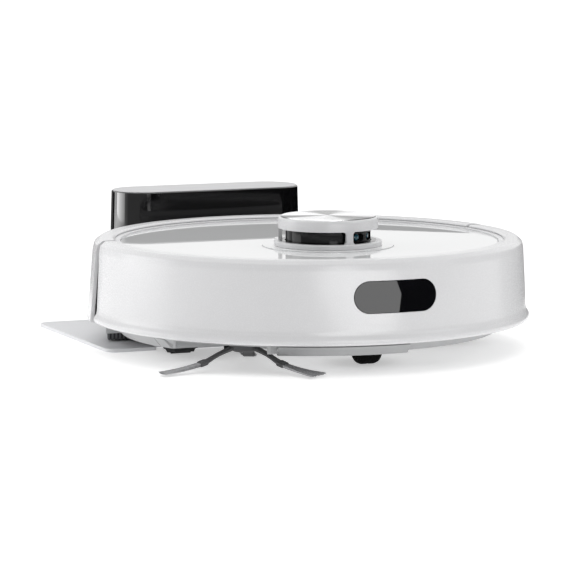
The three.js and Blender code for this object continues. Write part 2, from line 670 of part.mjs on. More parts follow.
function castorWheel() {
  const half = CASTOR_W / 2;
  const roll = turned([
    [2.4, -half], [CASTOR_R - 3, -half], [CASTOR_R, -half + 4],
    [CASTOR_R, half - 4], [CASTOR_R - 3, half], [2.4, half],
  ], MID);
  return roll.rotate([0, 90, 0]).translate([0, CASTOR_Y - CASTOR_TRAIL, CASTOR_R]);
}
piece(robot, 'castor_wheel', castorWheel(), blackMatte());

// ---------------------------------------------------------------- drive wheels
// Built for the +X side with X measured from the robot's centre, and mirrored for the other.
function driveModule(name, side) {
  const place = (shape) => (side > 0 ? shape : shape.mirror([1, 0, 0]));
  const about = (profile) => turned(profile, MID).rotate([0, 90, 0]).translate([WHEEL_X, WHEEL_Y, WHEEL_R]);
  const half = WHEEL_W / 2;
  const tyre = about([
    [27.5, -half], [33.2, -half], [WHEEL_R, -half + 1.8], [WHEEL_R, half - 1.8], [33.2, half], [27.5, half],
  ]);
  const hub = about([
    [0, -half + 1], [27.1, -half + 1], [27.1, half - 1], [23, half - 1],
    [21, half - 5], [9, half - 5], [8, half - 1], [0, half - 1],
  ]);
  const axle = rodX(3, 92, WHEEL_X - half + 2, WHEEL_Y, WHEEL_R);
  const arm = cut(
    prismX(outlineBelt(PIVOT_Y, PIVOT_Z, 14, WHEEL_Y, WHEEL_R, 15), 88, 101, 8),
    rodX(3.4, 91, 102, WHEEL_Y, WHEEL_R),
  );
  const pivotPin = rodX(3, 100, 105.4, PIVOT_Y, PIVOT_Z);
  const motor = rodX(11.5, 62, 88 - GAP, PIVOT_Y, PIVOT_Z, MID);
  piece(robot, `tyre_${name}`, place(tyre), rubber());
  piece(robot, `wheel_hub_${name}`, place(join(hub, axle)), innerGrey());
  piece(robot, `wheel_arm_${name}`, place(join(arm, pivotPin)), blackMatte());
  piece(robot, `wheel_motor_${name}`, place(motor), steel());
}
driveModule('right', -1);
driveModule('left', 1);

// ---------------------------------------------------------------- dock
// The tower's outline is a capsule that grows towards the floor.
function tower(inset, z0, z1) {
  const spine = (TOWER_W - TOWER_D) / 2;
  const r = TOWER_D / 2;
  const shape = outlineRect(-spine - r, spine + r, -r, r, r - 0.01);
  const options = { depth: z1 - z0, bevelEnabled: false, curveSegments: 8 };
  const geometry = new THREE.ExtrudeGeometry(shape, options);
  geometry.translate(0, 0, z0);
  const place = geometry.getAttribute('position');
  for (let i = 0; i < place.count; i += 1) {
    const middle = THREE.MathUtils.clamp(place.getX(i), -spine, spine);
    const scale = (r - inset + (TOWER_TOP - place.getZ(i)) * TOWER_DRAFT) / r;
    place.setX(i, middle + (place.getX(i) - middle) * scale);
    place.setY(i, place.getY(i) * scale);
  }
  return solid(geometry.translate(0, DOCK_Y, 0));
}

const BASE_TOP = 8;
const CAP_BOTTOM = 102.6;
const towerShell = () => cut(tower(0, BASE_TOP + GAP, CAP_BOTTOM - GAP), tower(2.5, 0, 120));
piece(dock, 'dock_base', tower(0, 0, BASE_TOP), blackMatte());
const frontHalf = towerShell().intersect(box(-120, 120, 150, DOCK_Y - 0.2, 0, 120));
piece(dock, 'dock_front_shell', frontHalf, blackGloss());

const INLET = { x: 58, z: 17 };
function dockRearShell() {
  const half = towerShell().intersect(box(-120, 120, DOCK_Y + 0.2, 300, 0, 120));
  return half.subtract(box(INLET.x - 6.4, INLET.x + 6.4, 240, 270, INLET.z - 6.4, INLET.z + 6.4));
}
piece(dock, 'dock_rear_shell', dockRearShell(), blackMatte());
piece(dock, 'dock_top_cap', tower(0, CAP_BOTTOM, TOWER_TOP), plastic(0xc9cacc, 0.45));

function dockInlet() {
  const body = box(INLET.x - 6, INLET.x + 6, 246, 257.8, INLET.z - 6, INLET.z + 6);
  return cut(body, rodY(3.2, 249, 262, INLET.x, INLET.z));
}
piece(dock, 'dock_inlet', dockInlet(), blackMatte());

// The mat's front edge is notched where the wheels drop when the robot is lifted.
function dockMat() {
  const sheet = prism(outlineRect(-MAT_X, MAT_X, MAT_Y0, MAT_Y1, MAT_CORNER), 0, MAT_T);
  const tongue = box(-MAT_TONGUE, MAT_TONGUE, MAT_Y1 - 2, DOCK_Y - TOWER_D / 2 - 3.4, 0, MAT_T);
  const half = WHEEL_W / 2 + MAT_PLAY;
  const notch = (x) => box(x - half, x + half, MAT_Y0 - 1, MAT_NOTCH_Y, -1, MAT_T + 1);
  return cut(join(sheet, tongue), notch(WHEEL_X), notch(-WHEEL_X));
}
piece(dock, 'dock_mat', dockMat(), plastic(0xe4e5e7, 0.5));

const NOSE = { x: 44, y0: 179.4, y1: 199.6, z0: 27, z1: 53, pocket: 3.4 };
function dockNose() {
  const body = prismY(outlineRect(-NOSE.x, NOSE.x, NOSE.z0, NOSE.z1, 8), NOSE.y0, NOSE.y1, 4);
  const pocket = (x) => box(
    x - 8.6, x + 8.6, NOSE.y0 - 1, NOSE.y0 + NOSE.pocket, CONTACT_Z - 6.6, CONTACT_Z + 6.6);
  return cut(body, pocket(-CONTACT_X), pocket(CONTACT_X));
}
piece(dock, 'dock_nose', dockNose(), blackGloss());

['right', 'left'].forEach((name, i) => {
  const x = i === 0 ? -CONTACT_X : CONTACT_X;
  const plate = box(x - 8, x + 8, 176.2, 179.4 + 0.8, CONTACT_Z - 6, CONTACT_Z + 6);
  piece(dock, `dock_contact_${name}`, plate, steel());
});
piece(dock, 'dock_power_board', join(
  box(-50, 50, 224, 225.6, 14, 92),
  box(-30, 0, 225, 243, 30, 60),
  box(12, 34, 225, 238, 50, 78),
), board());

export default assembly;
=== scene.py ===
"""A round robot vacuum with a lidar turret, parked on its charging dock.

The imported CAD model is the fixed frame. The fine surfaces made here stand for its coarse shells,
every hidden part keeps its CAD shape and gets a procedural material, and everything rides on the
CAD body it belongs to. Lengths of the object are in millimetres, and MM turns them into metres.
The floor, the lights, the flags and the camera are placed in metres.
"""
import json
import math
import random

import bmesh
import bpy
from mathutils import Matrix, Vector


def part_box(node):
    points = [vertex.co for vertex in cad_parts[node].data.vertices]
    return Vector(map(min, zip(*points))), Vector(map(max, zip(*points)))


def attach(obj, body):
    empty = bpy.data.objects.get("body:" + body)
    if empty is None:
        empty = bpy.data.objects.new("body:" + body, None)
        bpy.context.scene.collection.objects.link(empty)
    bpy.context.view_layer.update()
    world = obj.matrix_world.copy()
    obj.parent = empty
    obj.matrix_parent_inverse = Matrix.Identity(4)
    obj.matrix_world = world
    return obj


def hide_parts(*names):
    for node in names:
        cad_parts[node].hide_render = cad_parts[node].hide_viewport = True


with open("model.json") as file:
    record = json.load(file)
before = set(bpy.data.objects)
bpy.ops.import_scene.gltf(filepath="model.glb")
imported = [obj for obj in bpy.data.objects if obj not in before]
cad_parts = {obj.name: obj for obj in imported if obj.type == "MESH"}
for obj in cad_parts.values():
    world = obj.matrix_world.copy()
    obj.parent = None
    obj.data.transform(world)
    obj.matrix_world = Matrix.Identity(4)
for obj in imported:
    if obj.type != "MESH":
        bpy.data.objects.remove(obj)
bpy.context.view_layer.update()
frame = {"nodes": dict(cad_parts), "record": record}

MM = 0.001
TAU = 2 * math.pi
ROUND = 192          # segments of the large turned pieces
VERY_ROUND = 256     # segments of the walls and the glossy cover, whose mirror images show facets
CAGE_ROUND = 144     # segments of the turret
FINE = 96            # segments of the small ones
SHARP = math.radians(32)
RIM_SHARP = math.radians(50)      # for turned walls, whose own fillets meet under this angle


def centre_of(node):
    low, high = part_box(node)
    return (low + high) / 2


ROBOT = centre_of("top_cover")
ROBOT_Y = ROBOT.y / MM
TURRET_Y = centre_of("turret_disc").y / MM
DOCK_Y = centre_of("dock_top_cap").y / MM


# ------------------------------------------------------------------ materials
def surface(name, colour, rough, metal=0.0, specular=0.5, coat=0.0, coat_rough=0.03,
            tint=0.03, tint_scale=60.0, swing=0.05, grain=900.0, bump=0.04, stretch=(1, 1, 1),
            aniso=0.0, sheen=0.0):
    """A moulded or drawn surface: uneven tint, uneven roughness and a fine grain in the bump."""
    mat = bpy.data.materials.new(name)
    mat.use_nodes = True
    nodes, links = mat.node_tree.nodes, mat.node_tree.links
    shader = nodes["Principled BSDF"]
    shader.inputs["Metallic"].default_value = metal
    shader.inputs["Specular IOR Level"].default_value = specular
    shader.inputs["Coat Weight"].default_value = coat
    shader.inputs["Coat Roughness"].default_value = coat_rough
    shader.inputs["Anisotropic"].default_value = aniso
    shader.inputs["Sheen Weight"].default_value = sheen
    where = nodes.new("ShaderNodeTexCoord")
    stretched = nodes.new("ShaderNodeMapping")
    stretched.inputs["Scale"].default_value = stretch
    links.new(where.outputs["Object"], stretched.inputs["Vector"])

    cloud = nodes.new("ShaderNodeTexNoise")
    cloud.inputs["Scale"].default_value = tint_scale
    cloud.inputs["Detail"].default_value = 3.0
    links.new(stretched.outputs["Vector"], cloud.inputs["Vector"])
    shade = nodes.new("ShaderNodeValToRGB")
    shade.color_ramp.elements[0].position = 0.3
    shade.color_ramp.elements[1].position = 0.7
    shade.color_ramp.elements[0].color = [c * (1 - tint) for c in colour] + [1]
    shade.color_ramp.elements[1].color = [min(1.0, c * (1 + tint)) for c in colour] + [1]
    links.new(cloud.outputs["Fac"], shade.inputs["Fac"])
    links.new(shade.outputs["Color"], shader.inputs["Base Color"])

    speck = nodes.new("ShaderNodeTexNoise")
    speck.inputs["Scale"].default_value = grain
    speck.inputs["Detail"].default_value = 2.0
    links.new(stretched.outputs["Vector"], speck.inputs["Vector"])
    spread = nodes.new("ShaderNodeMapRange")
    spread.inputs["To Min"].default_value = max(0.0, rough - swing)
    spread.inputs["To Max"].default_value = min(1.0, rough + swing)
    links.new(speck.outputs["Fac"], spread.inputs["Value"])
    links.new(spread.outputs["Result"], shader.inputs["Roughness"])
    relief = nodes.new("ShaderNodeBump")
    relief.inputs["Strength"].default_value = bump
    relief.inputs["Distance"].default_value = 0.0002
    links.new(speck.outputs["Fac"], relief.inputs["Height"])
    links.new(relief.outputs["Normal"], shader.inputs["Normal"])
    return mat


def waves(mat, scale, depth, bands="X", rings=False, offset=(0, 0, 0), strength=0.5):
    """Adds ridges to a surface: pleats, ribs or turning marks, on top of its grain."""
    nodes, links = mat.node_tree.nodes, mat.node_tree.links
    where = nodes.new("ShaderNodeTexCoord")
    moved = nodes.new("ShaderNodeMapping")
    moved.inputs["Location"].default_value = offset
    ridge = nodes.new("ShaderNodeTexWave")
    ridge.wave_type = "RINGS" if rings else "BANDS"
    if rings:
        ridge.rings_direction = bands
    else:
        ridge.bands_direction = bands
    ridge.inputs["Scale"].default_value = scale
    links.new(where.outputs["Object"], moved.inputs["Vector"])
    links.new(moved.outputs["Vector"], ridge.inputs["Vector"])
    relief = nodes.new("ShaderNodeBump")
    relief.inputs["Strength"].default_value = strength
    relief.inputs["Distance"].default_value = depth
    shader = nodes["Principled BSDF"]
    first = shader.inputs["Normal"].links[0].from_socket
    links.new(ridge.outputs["Fac"], relief.inputs["Height"])
    links.new(first, relief.inputs["Normal"])
    links.new(relief.outputs["Normal"], shader.inputs["Normal"])
    return mat


def lacquer(mat, index, facing=(0.12, 0.45)):
    """A clear coat whose mirror grows as the surface turns away, between two facing values."""
    nodes, links = mat.node_tree.nodes, mat.node_tree.links
    turned = nodes.new("ShaderNodeLayerWeight")
    grow = nodes.new("ShaderNodeMapRange")
    grow.inputs["From Min"].default_value, grow.inputs["From Max"].default_value = facing
    shader = nodes["Principled BSDF"]
    shader.inputs["Coat IOR"].default_value = index
    links.new(turned.outputs["Facing"], grow.inputs["Value"])
    links.new(grow.outputs["Result"], shader.inputs["Coat Weight"])
    return mat


def stripes(mat, scale, pale):
    """Woven stripes: the colour swings between the surface's own and a pale one along X."""
    nodes, links = mat.node_tree.nodes, mat.node_tree.links
    where = nodes.new("ShaderNodeTexCoord")
    band = nodes.new("ShaderNodeTexWave")
    band.bands_direction = "X"
    band.inputs["Scale"].default_value = scale
    links.new(where.outputs["Object"], band.inputs["Vector"])
    blend = nodes.new("ShaderNodeMix")
    blend.data_type = "RGBA"
    shader = nodes["Principled BSDF"]
    own = shader.inputs["Base Color"].links[0].from_socket
    links.new(band.outputs["Fac"], blend.inputs["Factor"])
    links.new(own, blend.inputs[6])
    blend.inputs[7].default_value = (*pale, 1)
    links.new(blend.outputs[2], shader.inputs["Base Color"])
    return mat


# Painted reflection: brightness of the spun disc's colour by direction, in turns from straight back (-X),
# painted in as the bright and dark wedges of its sheen.
PAINTED_REFLECTION_WEDGES = ((0.00, 0.20), (0.06, 0.85), (0.14, 0.98), (0.22, 0.80), (0.28, 0.30), (0.34, 0.25), (0.42, 0.80),
          (0.52, 0.98), (0.60, 0.85), (0.67, 0.22), (0.73, 0.25), (0.82, 0.95), (0.92, 0.90), (0.98, 0.22))


def spun_metal():
    """Radially brushed aluminium: turning marks, and a reflection painted into its colour as wedges that open
    out.
    """
    mat = surface("spun_aluminium", (0.80, 0.80, 0.81), 0.26, metal=1.0, tint=0.02, swing=0.03,
                  bump=0.02, aniso=0.9)
    nodes, links = mat.node_tree.nodes, mat.node_tree.links
    where = nodes.new("ShaderNodeTexCoord")
    centred = nodes.new("ShaderNodeMapping")
    centred.inputs["Location"].default_value = (0, -TURRET_Y * MM, 0)
    around = nodes.new("ShaderNodeTexGradient")
    around.gradient_type = "RADIAL"
    # Painted reflection: this ramp paints the sheen's bright and dark wedges into the base colour by
    # direction round the disc.
    sheen = nodes.new("ShaderNodeValToRGB")
    links.new(where.outputs["Object"], centred.inputs["Vector"])
    links.new(centred.outputs["Vector"], around.inputs["Vector"])
    links.new(around.outputs["Fac"], sheen.inputs["Fac"])
    ramp = sheen.color_ramp
    ramp.interpolation = "EASE"
    while len(ramp.elements) < len(PAINTED_REFLECTION_WEDGES):
        ramp.elements.new(0.5)
    for stop, (turn_at, value) in zip(ramp.elements, PAINTED_REFLECTION_WEDGES):
        stop.position = turn_at
        stop.color = (value, value, value * 1.01, 1)
    links.new(sheen.outputs["Color"], nodes["Principled BSDF"].inputs["Base Color"])
    round_axis = nodes.new("ShaderNodeTangent")
    round_axis.direction_type = "RADIAL"
    round_axis.axis = "Z"
    links.new(round_axis.outputs["Tangent"], nodes["Principled BSDF"].inputs["Tangent"])
    return waves(mat, 900.0, 0.00002, "Z", True, (0, -TURRET_Y * MM, 0), 0.25)


def printed_board():
    mat = surface("circuit_board", (0.03, 0.16, 0.08), 0.4, tint=0.1, bump=0.02)
    nodes, links = mat.node_tree.nodes, mat.node_tree.links
    where = nodes.new("ShaderNodeTexCoord")
    tracks = nodes.new("ShaderNodeTexBrick")
    tracks.inputs["Scale"].default_value = 120.0
    tracks.inputs["Color1"].default_value = (0.03, 0.16, 0.08, 1)
    tracks.inputs["Color2"].default_value = (0.025, 0.13, 0.07, 1)
    tracks.inputs["Mortar"].default_value = (0.12, 0.36, 0.16, 1)
    tracks.inputs["Mortar Size"].default_value = 0.03
    links.new(where.outputs["Object"], tracks.inputs["Vector"])
    links.new(tracks.outputs["Color"], nodes["Principled BSDF"].inputs["Base Color"])
    return mat


FINISH = {
    "white_shell": surface("white_shell", (0.80, 0.80, 0.81), 0.27, specular=0.4, tint=0.006, swing=0.04,
                           grain=1500, bump=0.012, coat=0.12, coat_rough=0.12),
    "white_gloss": surface("white_gloss", (0.88, 0.885, 0.89), 0.015, tint=0.004, swing=0.006,
                           bump=0.001),
    "grey_underside": surface("grey_underside", (0.48, 0.485, 0.49), 0.5, grain=2200, bump=0.12,
                              tint=0.02),
    "inner_grey": surface("inner_grey", (0.15, 0.155, 0.165), 0.5, grain=1800, bump=0.15),
    "black_gloss": surface("black_gloss", (0.006, 0.006, 0.0065), 0.06, specular=0.3, swing=0.02,
                           bump=0.004, tint=0.1),
    "black_matte": surface("black_matte", (0.012, 0.012, 0.013), 0.5, specular=0.35, grain=2500,
                           bump=0.18, tint=0.12),
    "smoked_window": surface("smoked_window", (0.004, 0.004, 0.005), 0.03, specular=0.5,
                             swing=0.01, bump=0.002, tint=0.1),
    "tyre_rubber": surface("tyre_rubber", (0.014, 0.014, 0.015), 0.75, specular=0.3, grain=1600,
                           bump=0.35, tint=0.15, swing=0.1),
    "brush_rubber": surface("brush_rubber", (0.085, 0.085, 0.088), 0.6, specular=0.35, grain=1500,
                            bump=0.2, tint=0.1),
    "side_bristle": surface("side_bristle", (0.42, 0.42, 0.43), 0.5, tint=0.35, tint_scale=900,
                            grain=3000, bump=0.1),
    "belt_rubber": waves(surface("belt_rubber", (0.015, 0.015, 0.015), 0.7, bump=0.2), 400,
                         0.0004),
    "steel": surface("steel", (0.62, 0.62, 0.63), 0.3, metal=1.0, stretch=(1, 1, 14), aniso=0.4,
                     swing=0.1, bump=0.05),
    "spun_aluminium": spun_metal(),
    "brass": surface("brass", (0.70, 0.48, 0.19), 0.28, metal=1.0, swing=0.08, bump=0.03),
    "circuit_board": printed_board(),
    "battery_wrap": surface("battery_wrap", (0.012, 0.018, 0.07), 0.25, coat=0.4, grain=160,
                            bump=0.3, tint=0.15),
    "filter_paper": waves(surface("filter_paper", (0.78, 0.78, 0.72), 0.9, bump=0.4), 110,
                          0.0015, "Y"),
    "mop_fabric": stripes(waves(surface("mop_fabric", (0.04, 0.04, 0.044), 0.95, specular=0.1,
                                        tint=0.4, tint_scale=700, grain=2600, bump=0.9, sheen=0.25),
                                900, 0.0004, "Y"), 98, (0.26, 0.26, 0.27)),
    "dock_grey": surface("dock_grey", (0.56, 0.56, 0.57), 0.35, tint=0.01, grain=1800,
                         bump=0.06),
    "mat_white": surface("mat_white", (0.78, 0.785, 0.80), 0.42, tint=0.01, grain=1900,
                         bump=0.08),
}
LACQUER = lacquer(surface("tower_lacquer", (0.005, 0.005, 0.0055), 0.05, specular=0.24, swing=0.02,
                          bump=0.004, tint=0.1), 2.5)
CASTOR_BLACK = surface("castor_black", (0.004, 0.004, 0.004), 0.8, specular=0.05, grain=1500, bump=0.1,
                       tint=0.1)
LENS = surface("lens_glass", (0.006, 0.10, 0.15), 0.05, coat=1.0, bump=0.002)

for entry in frame["record"]["subparts"]:
    node = frame["nodes"][entry["node"]]
    node.data.materials.clear()
    node.data.materials.append(FINISH[entry["material_slot"]])


# ------------------------------------------------------------------ mesh tools
def as_object(name, bm):
    """Turns a bmesh in millimetres into an object in metres, with its faces pointing out."""
    bmesh.ops.remove_doubles(bm, verts=bm.verts, dist=1e-5)
    bmesh.ops.recalc_face_normals(bm, faces=bm.faces)
    bm.transform(Matrix.Scale(MM, 4))
    mesh = bpy.data.meshes.new(name)
    bm.to_mesh(mesh)
    bm.free()
    thing = bpy.data.objects.new(name, mesh)
    bpy.context.scene.collection.objects.link(thing)
    return thing


def fillet(points, radius, steps=3, closed=True):
    """Rounds the corners of an outline, each with a short curve."""
    out = []
    count = len(points)
    for i, corner in enumerate(points):
        if not closed and i in (0, count - 1):
            out.append(tuple(corner))
            continue
        here = Vector(corner)
        before, after = Vector(points[i - 1]), Vector(points[(i + 1) % count])
        reach = min(radius, 0.45 * (before - here).length, 0.45 * (after - here).length)
        start = here + (before - here).normalized() * reach
        end = here + (after - here).normalized() * reach
        for k in range(steps + 1):
            t = k / steps
            out.append(tuple(start * (1 - t) ** 2 + here * 2 * t * (1 - t) + end * t ** 2))
    return out


def lathe(name, profile, x=0.0, y=0.0, segments=ROUND, ease=0.5, shape=None):
    """Turns a closed (radius, height) profile about a vertical axis. Corners get a radius of ease.
    shape(angle, r, z) may change the radius."""
    points = fillet(profile, ease) if ease else profile
    points = [(max(r, 0.0), z) for r, z in points]
    bm = bmesh.new()
    rings = []
    for s in range(segments):
        angle = TAU * s / segments
        ring = []
        for r, z in points:
            radius = shape(angle, r, z) if shape else r
            ring.append(bm.verts.new((x + radius * math.cos(angle), y + radius * math.sin(angle), z)))
        rings.append(ring)
    for s in range(segments):
        here, there = rings[s], rings[(s + 1) % segments]
        for k in range(len(points)):
            j = (k + 1) % len(points)
            if points[k][0] == 0 and points[j][0] == 0:
                continue
            bm.faces.new((here[k], there[k], there[j], here[j]))
    bmesh.ops.remove_doubles(bm, verts=bm.verts, dist=1e-5)
    bmesh.ops.dissolve_degenerate(bm, edges=bm.edges, dist=1e-6)
    return as_object(name, bm)


def loft(name, sections):
    """Joins a list of closed sections of the same number of (x, y, z) points, and closes the ends."""
    bm = bmesh.new()
    rings = [[bm.verts.new(p) for p in section] for section in sections]
    count = len(sections[0])
    for a, b in zip(rings, rings[1:]):
        for k in range(count):
            j = (k + 1) % count
            bm.faces.new((a[k], a[j], b[j], b[k]))
    bm.faces.new(rings[0])
    bm.faces.new(rings[-1])
    return as_object(name, bm)


def prism(name, outline, z0, z1):
    return loft(name, [[(x, y, z) for x, y in outline] for z in (z0, z1)])


def rounded(x0, x1, y0, y1, radius, steps=12):
    """A rectangle with round corners, as an outline."""
    out = []
    corners = ((x1, y1, 0), (x0, y1, 1), (x0, y0, 2), (x1, y0, 3))
    for cx, cy, quarter in corners:
        mx = cx - radius if cx == x1 else cx + radius
        my = cy - radius if cy == y1 else cy + radius
        for k in range(steps + 1):
            angle = (quarter + k / steps) * math.pi / 2
            out.append((mx + radius * math.cos(angle), my + radius * math.sin(angle)))
    return out


def block(name, x0, x1, y0, y1, z0, z1, radius=0.0):
    if radius:
        return prism(name, rounded(x0, x1, y0, y1, radius, 6), z0, z1)
    return prism(name, [(x0, y0), (x1, y0), (x1, y1), (x0, y1)], z0, z1)


def turn(thing, matrix):
    thing.data.transform(matrix)
    return thing


def about_x(thing, x, y, z):
    """Lays a piece turned about the origin's vertical axis along X, and moves it to a place."""
    return turn(thing, Matrix.Translation(Vector((x, y, z)) * MM) @ Matrix.Rotation(math.pi / 2, 4, "Y"))


def swung(x, y, z, degrees):
    """Turns a piece about the vertical through the origin, then moves it to a place."""
    return Matrix.Translation(Vector((x, y, z)) * MM) @ Matrix.Rotation(math.radians(degrees), 4, "Z")


def drill(radius, z0, z1, x=0.0, y=0.0, segments=FINE):
    """A round upright tool."""
    return lathe("drill", [(0, z0), (radius, z0), (radius, z1), (0, z1)], x, y, segments, 0)


def combine(thing, tools, operation):
    """Joins tools to a piece or cuts them out of it, and deletes them."""
    for tool in tools:
        change = thing.modifiers.new("change", "BOOLEAN")
        change.operation = operation
        change.solver = "MANIFOLD"
        change.object = tool
        apply(thing)
        bpy.data.objects.remove(tool)
    return thing


def cut(thing, *tools):
    return combine(thing, tools, "DIFFERENCE")


def keep(thing, *tools):
    return combine(thing, tools, "INTERSECT")


def join(thing, *tools):
    return combine(thing, tools, "UNION")


def apply(thing):
    """Replaces a piece's mesh by what its modifiers make of it."""
    bpy.context.view_layer.update()
    graph = bpy.context.evaluated_depsgraph_get()
    made = bpy.data.meshes.new_from_object(thing.evaluated_get(graph))
    thing.modifiers.clear()
    thing.data = made


def soften(thing, width, segments=2, angle=SHARP):
    """Rounds the sharp edges of a piece."""
    round_off = thing.modifiers.new("edges", "BEVEL")
    round_off.width = width * MM
    round_off.segments = segments
    round_off.limit_method = "ANGLE"
    round_off.angle_limit = angle
    round_off.use_clamp_overlap = True
    apply(thing)
    return thing


def shade(thing, angle=SHARP):
    """Smooth shading that keeps the broad faces true, with the edges over the angle left sharp."""
    bm = bmesh.new()
    bm.from_mesh(thing.data)
    for face in bm.faces:
        face.smooth = True
    for edge in bm.edges:
        edge.smooth = len(edge.link_faces) == 2 and edge.calc_face_angle(0) < angle
    bm.to_mesh(thing.data)
    bm.free()
    weigh = thing.modifiers.new("normals", "WEIGHTED_NORMAL")
    weigh.weight = 80
    weigh.keep_sharp = True
    apply(thing)


def place(thing, body, finish, stands_for=()):
    """Gives a finished piece its material and its body, and hides the CAD nodes it stands for."""
    shade(thing)
    thing.data.materials.clear()
    thing.data.materials.append(FINISH[finish])
    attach(thing, body)
    if stands_for:
        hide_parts(*stands_for)
    return thing


def paint(thing, mat):
    thing.data.materials.clear()
    thing.data.materials.append(mat)
    return thing


# ------------------------------------------------------------------ casing
SEAM_Y = ROBOT_Y + 26
SEAM_GAP = 3.6
BUMPER = [(167.5, 23), (173.4, 23), (175, 24.8), (175, 27.3), (172.9, 30.4), (172.3, 33.5), (171.1, 60),
          (170.1, 79.5), (169.2, 84.2), (165.2, 87.4), (156.2, 87.4), (154.6, 86.2), (154.6, 85.4),
          (164.6, 85.4), (167.2, 82.5), (169.9, 34), (171.8, 28), (171.8, 25.4), (167.5, 25.4)]
REAR = [(164, 23), (175.6, 23), (177.4, 24.4), (176.9, 27), (174.2, 55), (172.4, 78), (171, 84),
        (166.4, 87.4), (156.2, 87.4), (154.6, 86.2), (154.6, 85.4), (165.4, 85.4), (168.8, 82.5),
        (173.6, 27), (164, 25.4)]
WINDOW_HALF, WINDOW_Z, WINDOW_R = 33.7, 59.1, 12.0
PAN_Z, CASTOR_PAD, WELL_PAD = 14.0, 12.5, 11.8       # undersides of the pan and of its pads
CASTOR_PAD_BOX = (-82, 18, -72)                      # x from, x to, back edge from the centre
WELL_PAD_BOX = (88, 163, -57.4, 42)                  # of the left pad; the right one mirrors it
WELL_X, WELL_Y = (86, 125), (-47.5, 34)              # opening of the left wheel well
HUB_DX, HUB_DY, HUB_ROOM = -98.0, -106, 29           # side brush, from the centre, and its room
ARM_DX, ARM_DY, ARM_ROOM = -118, -84, 26             # second round room, where the arms sweep
CASTOR_DY, CASTOR_ROOM = -105, 26.6                  # castor's pivot and the room round it

CONTACT_X = 28                                       # charging contacts, either side of the middle
CONTACT_TURN = math.degrees(math.asin(CONTACT_X / 175.2))


def across(name, outline, y0, y1):
    """A prism of an (x, z) outline, from y0 to y1."""
    return loft(name, [[(x, y, z) for x, z in outline] for y in (y0, y1)])


def window_tool(extra):
    r = WINDOW_R + extra
    outline = rounded(-WINDOW_HALF - extra, WINDOW_HALF + extra, WINDOW_Z - r, WINDOW_Z + r, r - 0.01, 16)
    return across("window_tool", outline, ROBOT_Y - 200, ROBOT_Y - 120)


def pads(y):
    """The raised pads round the castor and the wheel wells, which follow the pan's rim."""
    x0, x1, back = CASTOR_PAD_BOX
    castor_pad = lathe("castor_pad", [(0, CASTOR_PAD), (152, CASTOR_PAD), (158, 20), (157, 20), (0, 15.5)],
                       0, y, ease=0.8)
    yield keep(castor_pad, block("pad_tool", x0, x1, y - 170, y + back, 11.5, 21.5, 9))
    near, far, front, rear = WELL_PAD_BOX
    for ends in ((near, far), (-far, -near)):
        profile = [(0, WELL_PAD), (150, WELL_PAD), (157, 19.5), (156, 19.5), (149, 15), (0, 15)]
        wheel_pad = lathe("wheel_pad", profile, 0, y, ease=0.6)
        yield keep(wheel_pad, block("pad_tool", *ends, y + front, y + rear, 10.8, 20.8, 5))


def wheel_well(side, y):
    """The box over a drive wheel, with the bracket that its suspension arm turns in."""
    front, rear = WELL_Y
    outer = sorted((side * 102, side * (WELL_X[1] + 1.6)))
    inner = sorted((side * 101, side * WELL_X[1]))
    well = cut(block("well", *outer, y + front - 2, y + rear + 2, 14.5, 75, 3),
               block("well_tool", *inner, y + front, y + rear, 10, 73, 2))
    bracket_x = sorted((side * 102.5, side * 105))
    join(well, block("bracket", *bracket_x, y - 57, y - 45.7, 15, 48))
    return cut(well, about_x(drill(3.3, -4, 4, segments=32), side * 104, y - 50, 40))


def casing():
    y = ROBOT_Y
    pan = lathe("casing_pan", [(0, PAN_Z), (149, PAN_Z), (163, 25.5), (163, 62), (160.5, 62), (160.5, 27),
                               (148, 16.5), (0, 16.5)], 0, y, ease=1.6)
    castor_pad, left_pad, right_pad = pads(y)
    pocket_hood = join(drill(HUB_ROOM + 2, 15, 22.5, HUB_DX, y + HUB_DY),
                       drill(ARM_ROOM + 2, 15, 22.5, ARM_DX, y + ARM_DY))
    keep(pocket_hood, drill(162, 0, 60, 0, y, ROUND))
    castor_hood = drill(CASTOR_ROOM + 2.4, 13.5, 41.5, 0, y + CASTOR_DY)
    join(pan, castor_pad, pocket_hood, castor_hood, left_pad, right_pad)
    for degrees in (197.5, -17.5):
        cut(pan, turn(block("seam", 146, 165, -0.35, 0.35, 10, 22), swung(0, y, 0, degrees)))
    brush_bay = block("bay_tool", -84.4, 84.4, y - 35.4, y + 19.4, 0, 19)
    near, far = WELL_X
    wells = [block("opening", *ends, y + WELL_Y[0], y + WELL_Y[1], 0, 17, 4)
             for ends in ((near, far), (-far, -near))]
    cut(pan,
        brush_bay,
        drill(HUB_ROOM, 0, 20.5, HUB_DX, y + HUB_DY),
        drill(ARM_ROOM, 0, 20.45, ARM_DX, y + ARM_DY),
        drill(CASTOR_ROOM, 0, 39, 0, y + CASTOR_DY),
        drill(4.5, 38, 43, 0, y + CASTOR_DY, 32),
        drill(3.4, 19, 24, HUB_DX, y + HUB_DY, 32),
        *wells,
        block("sensor_bay", -39, 39, y - 168, y - 138, 46, 72))
    for side in (-1, 1):
        join(pan, wheel_well(side, y))
    return place(soften(pan, 0.35, 1), "robot", "grey_underside", ["chassis"])


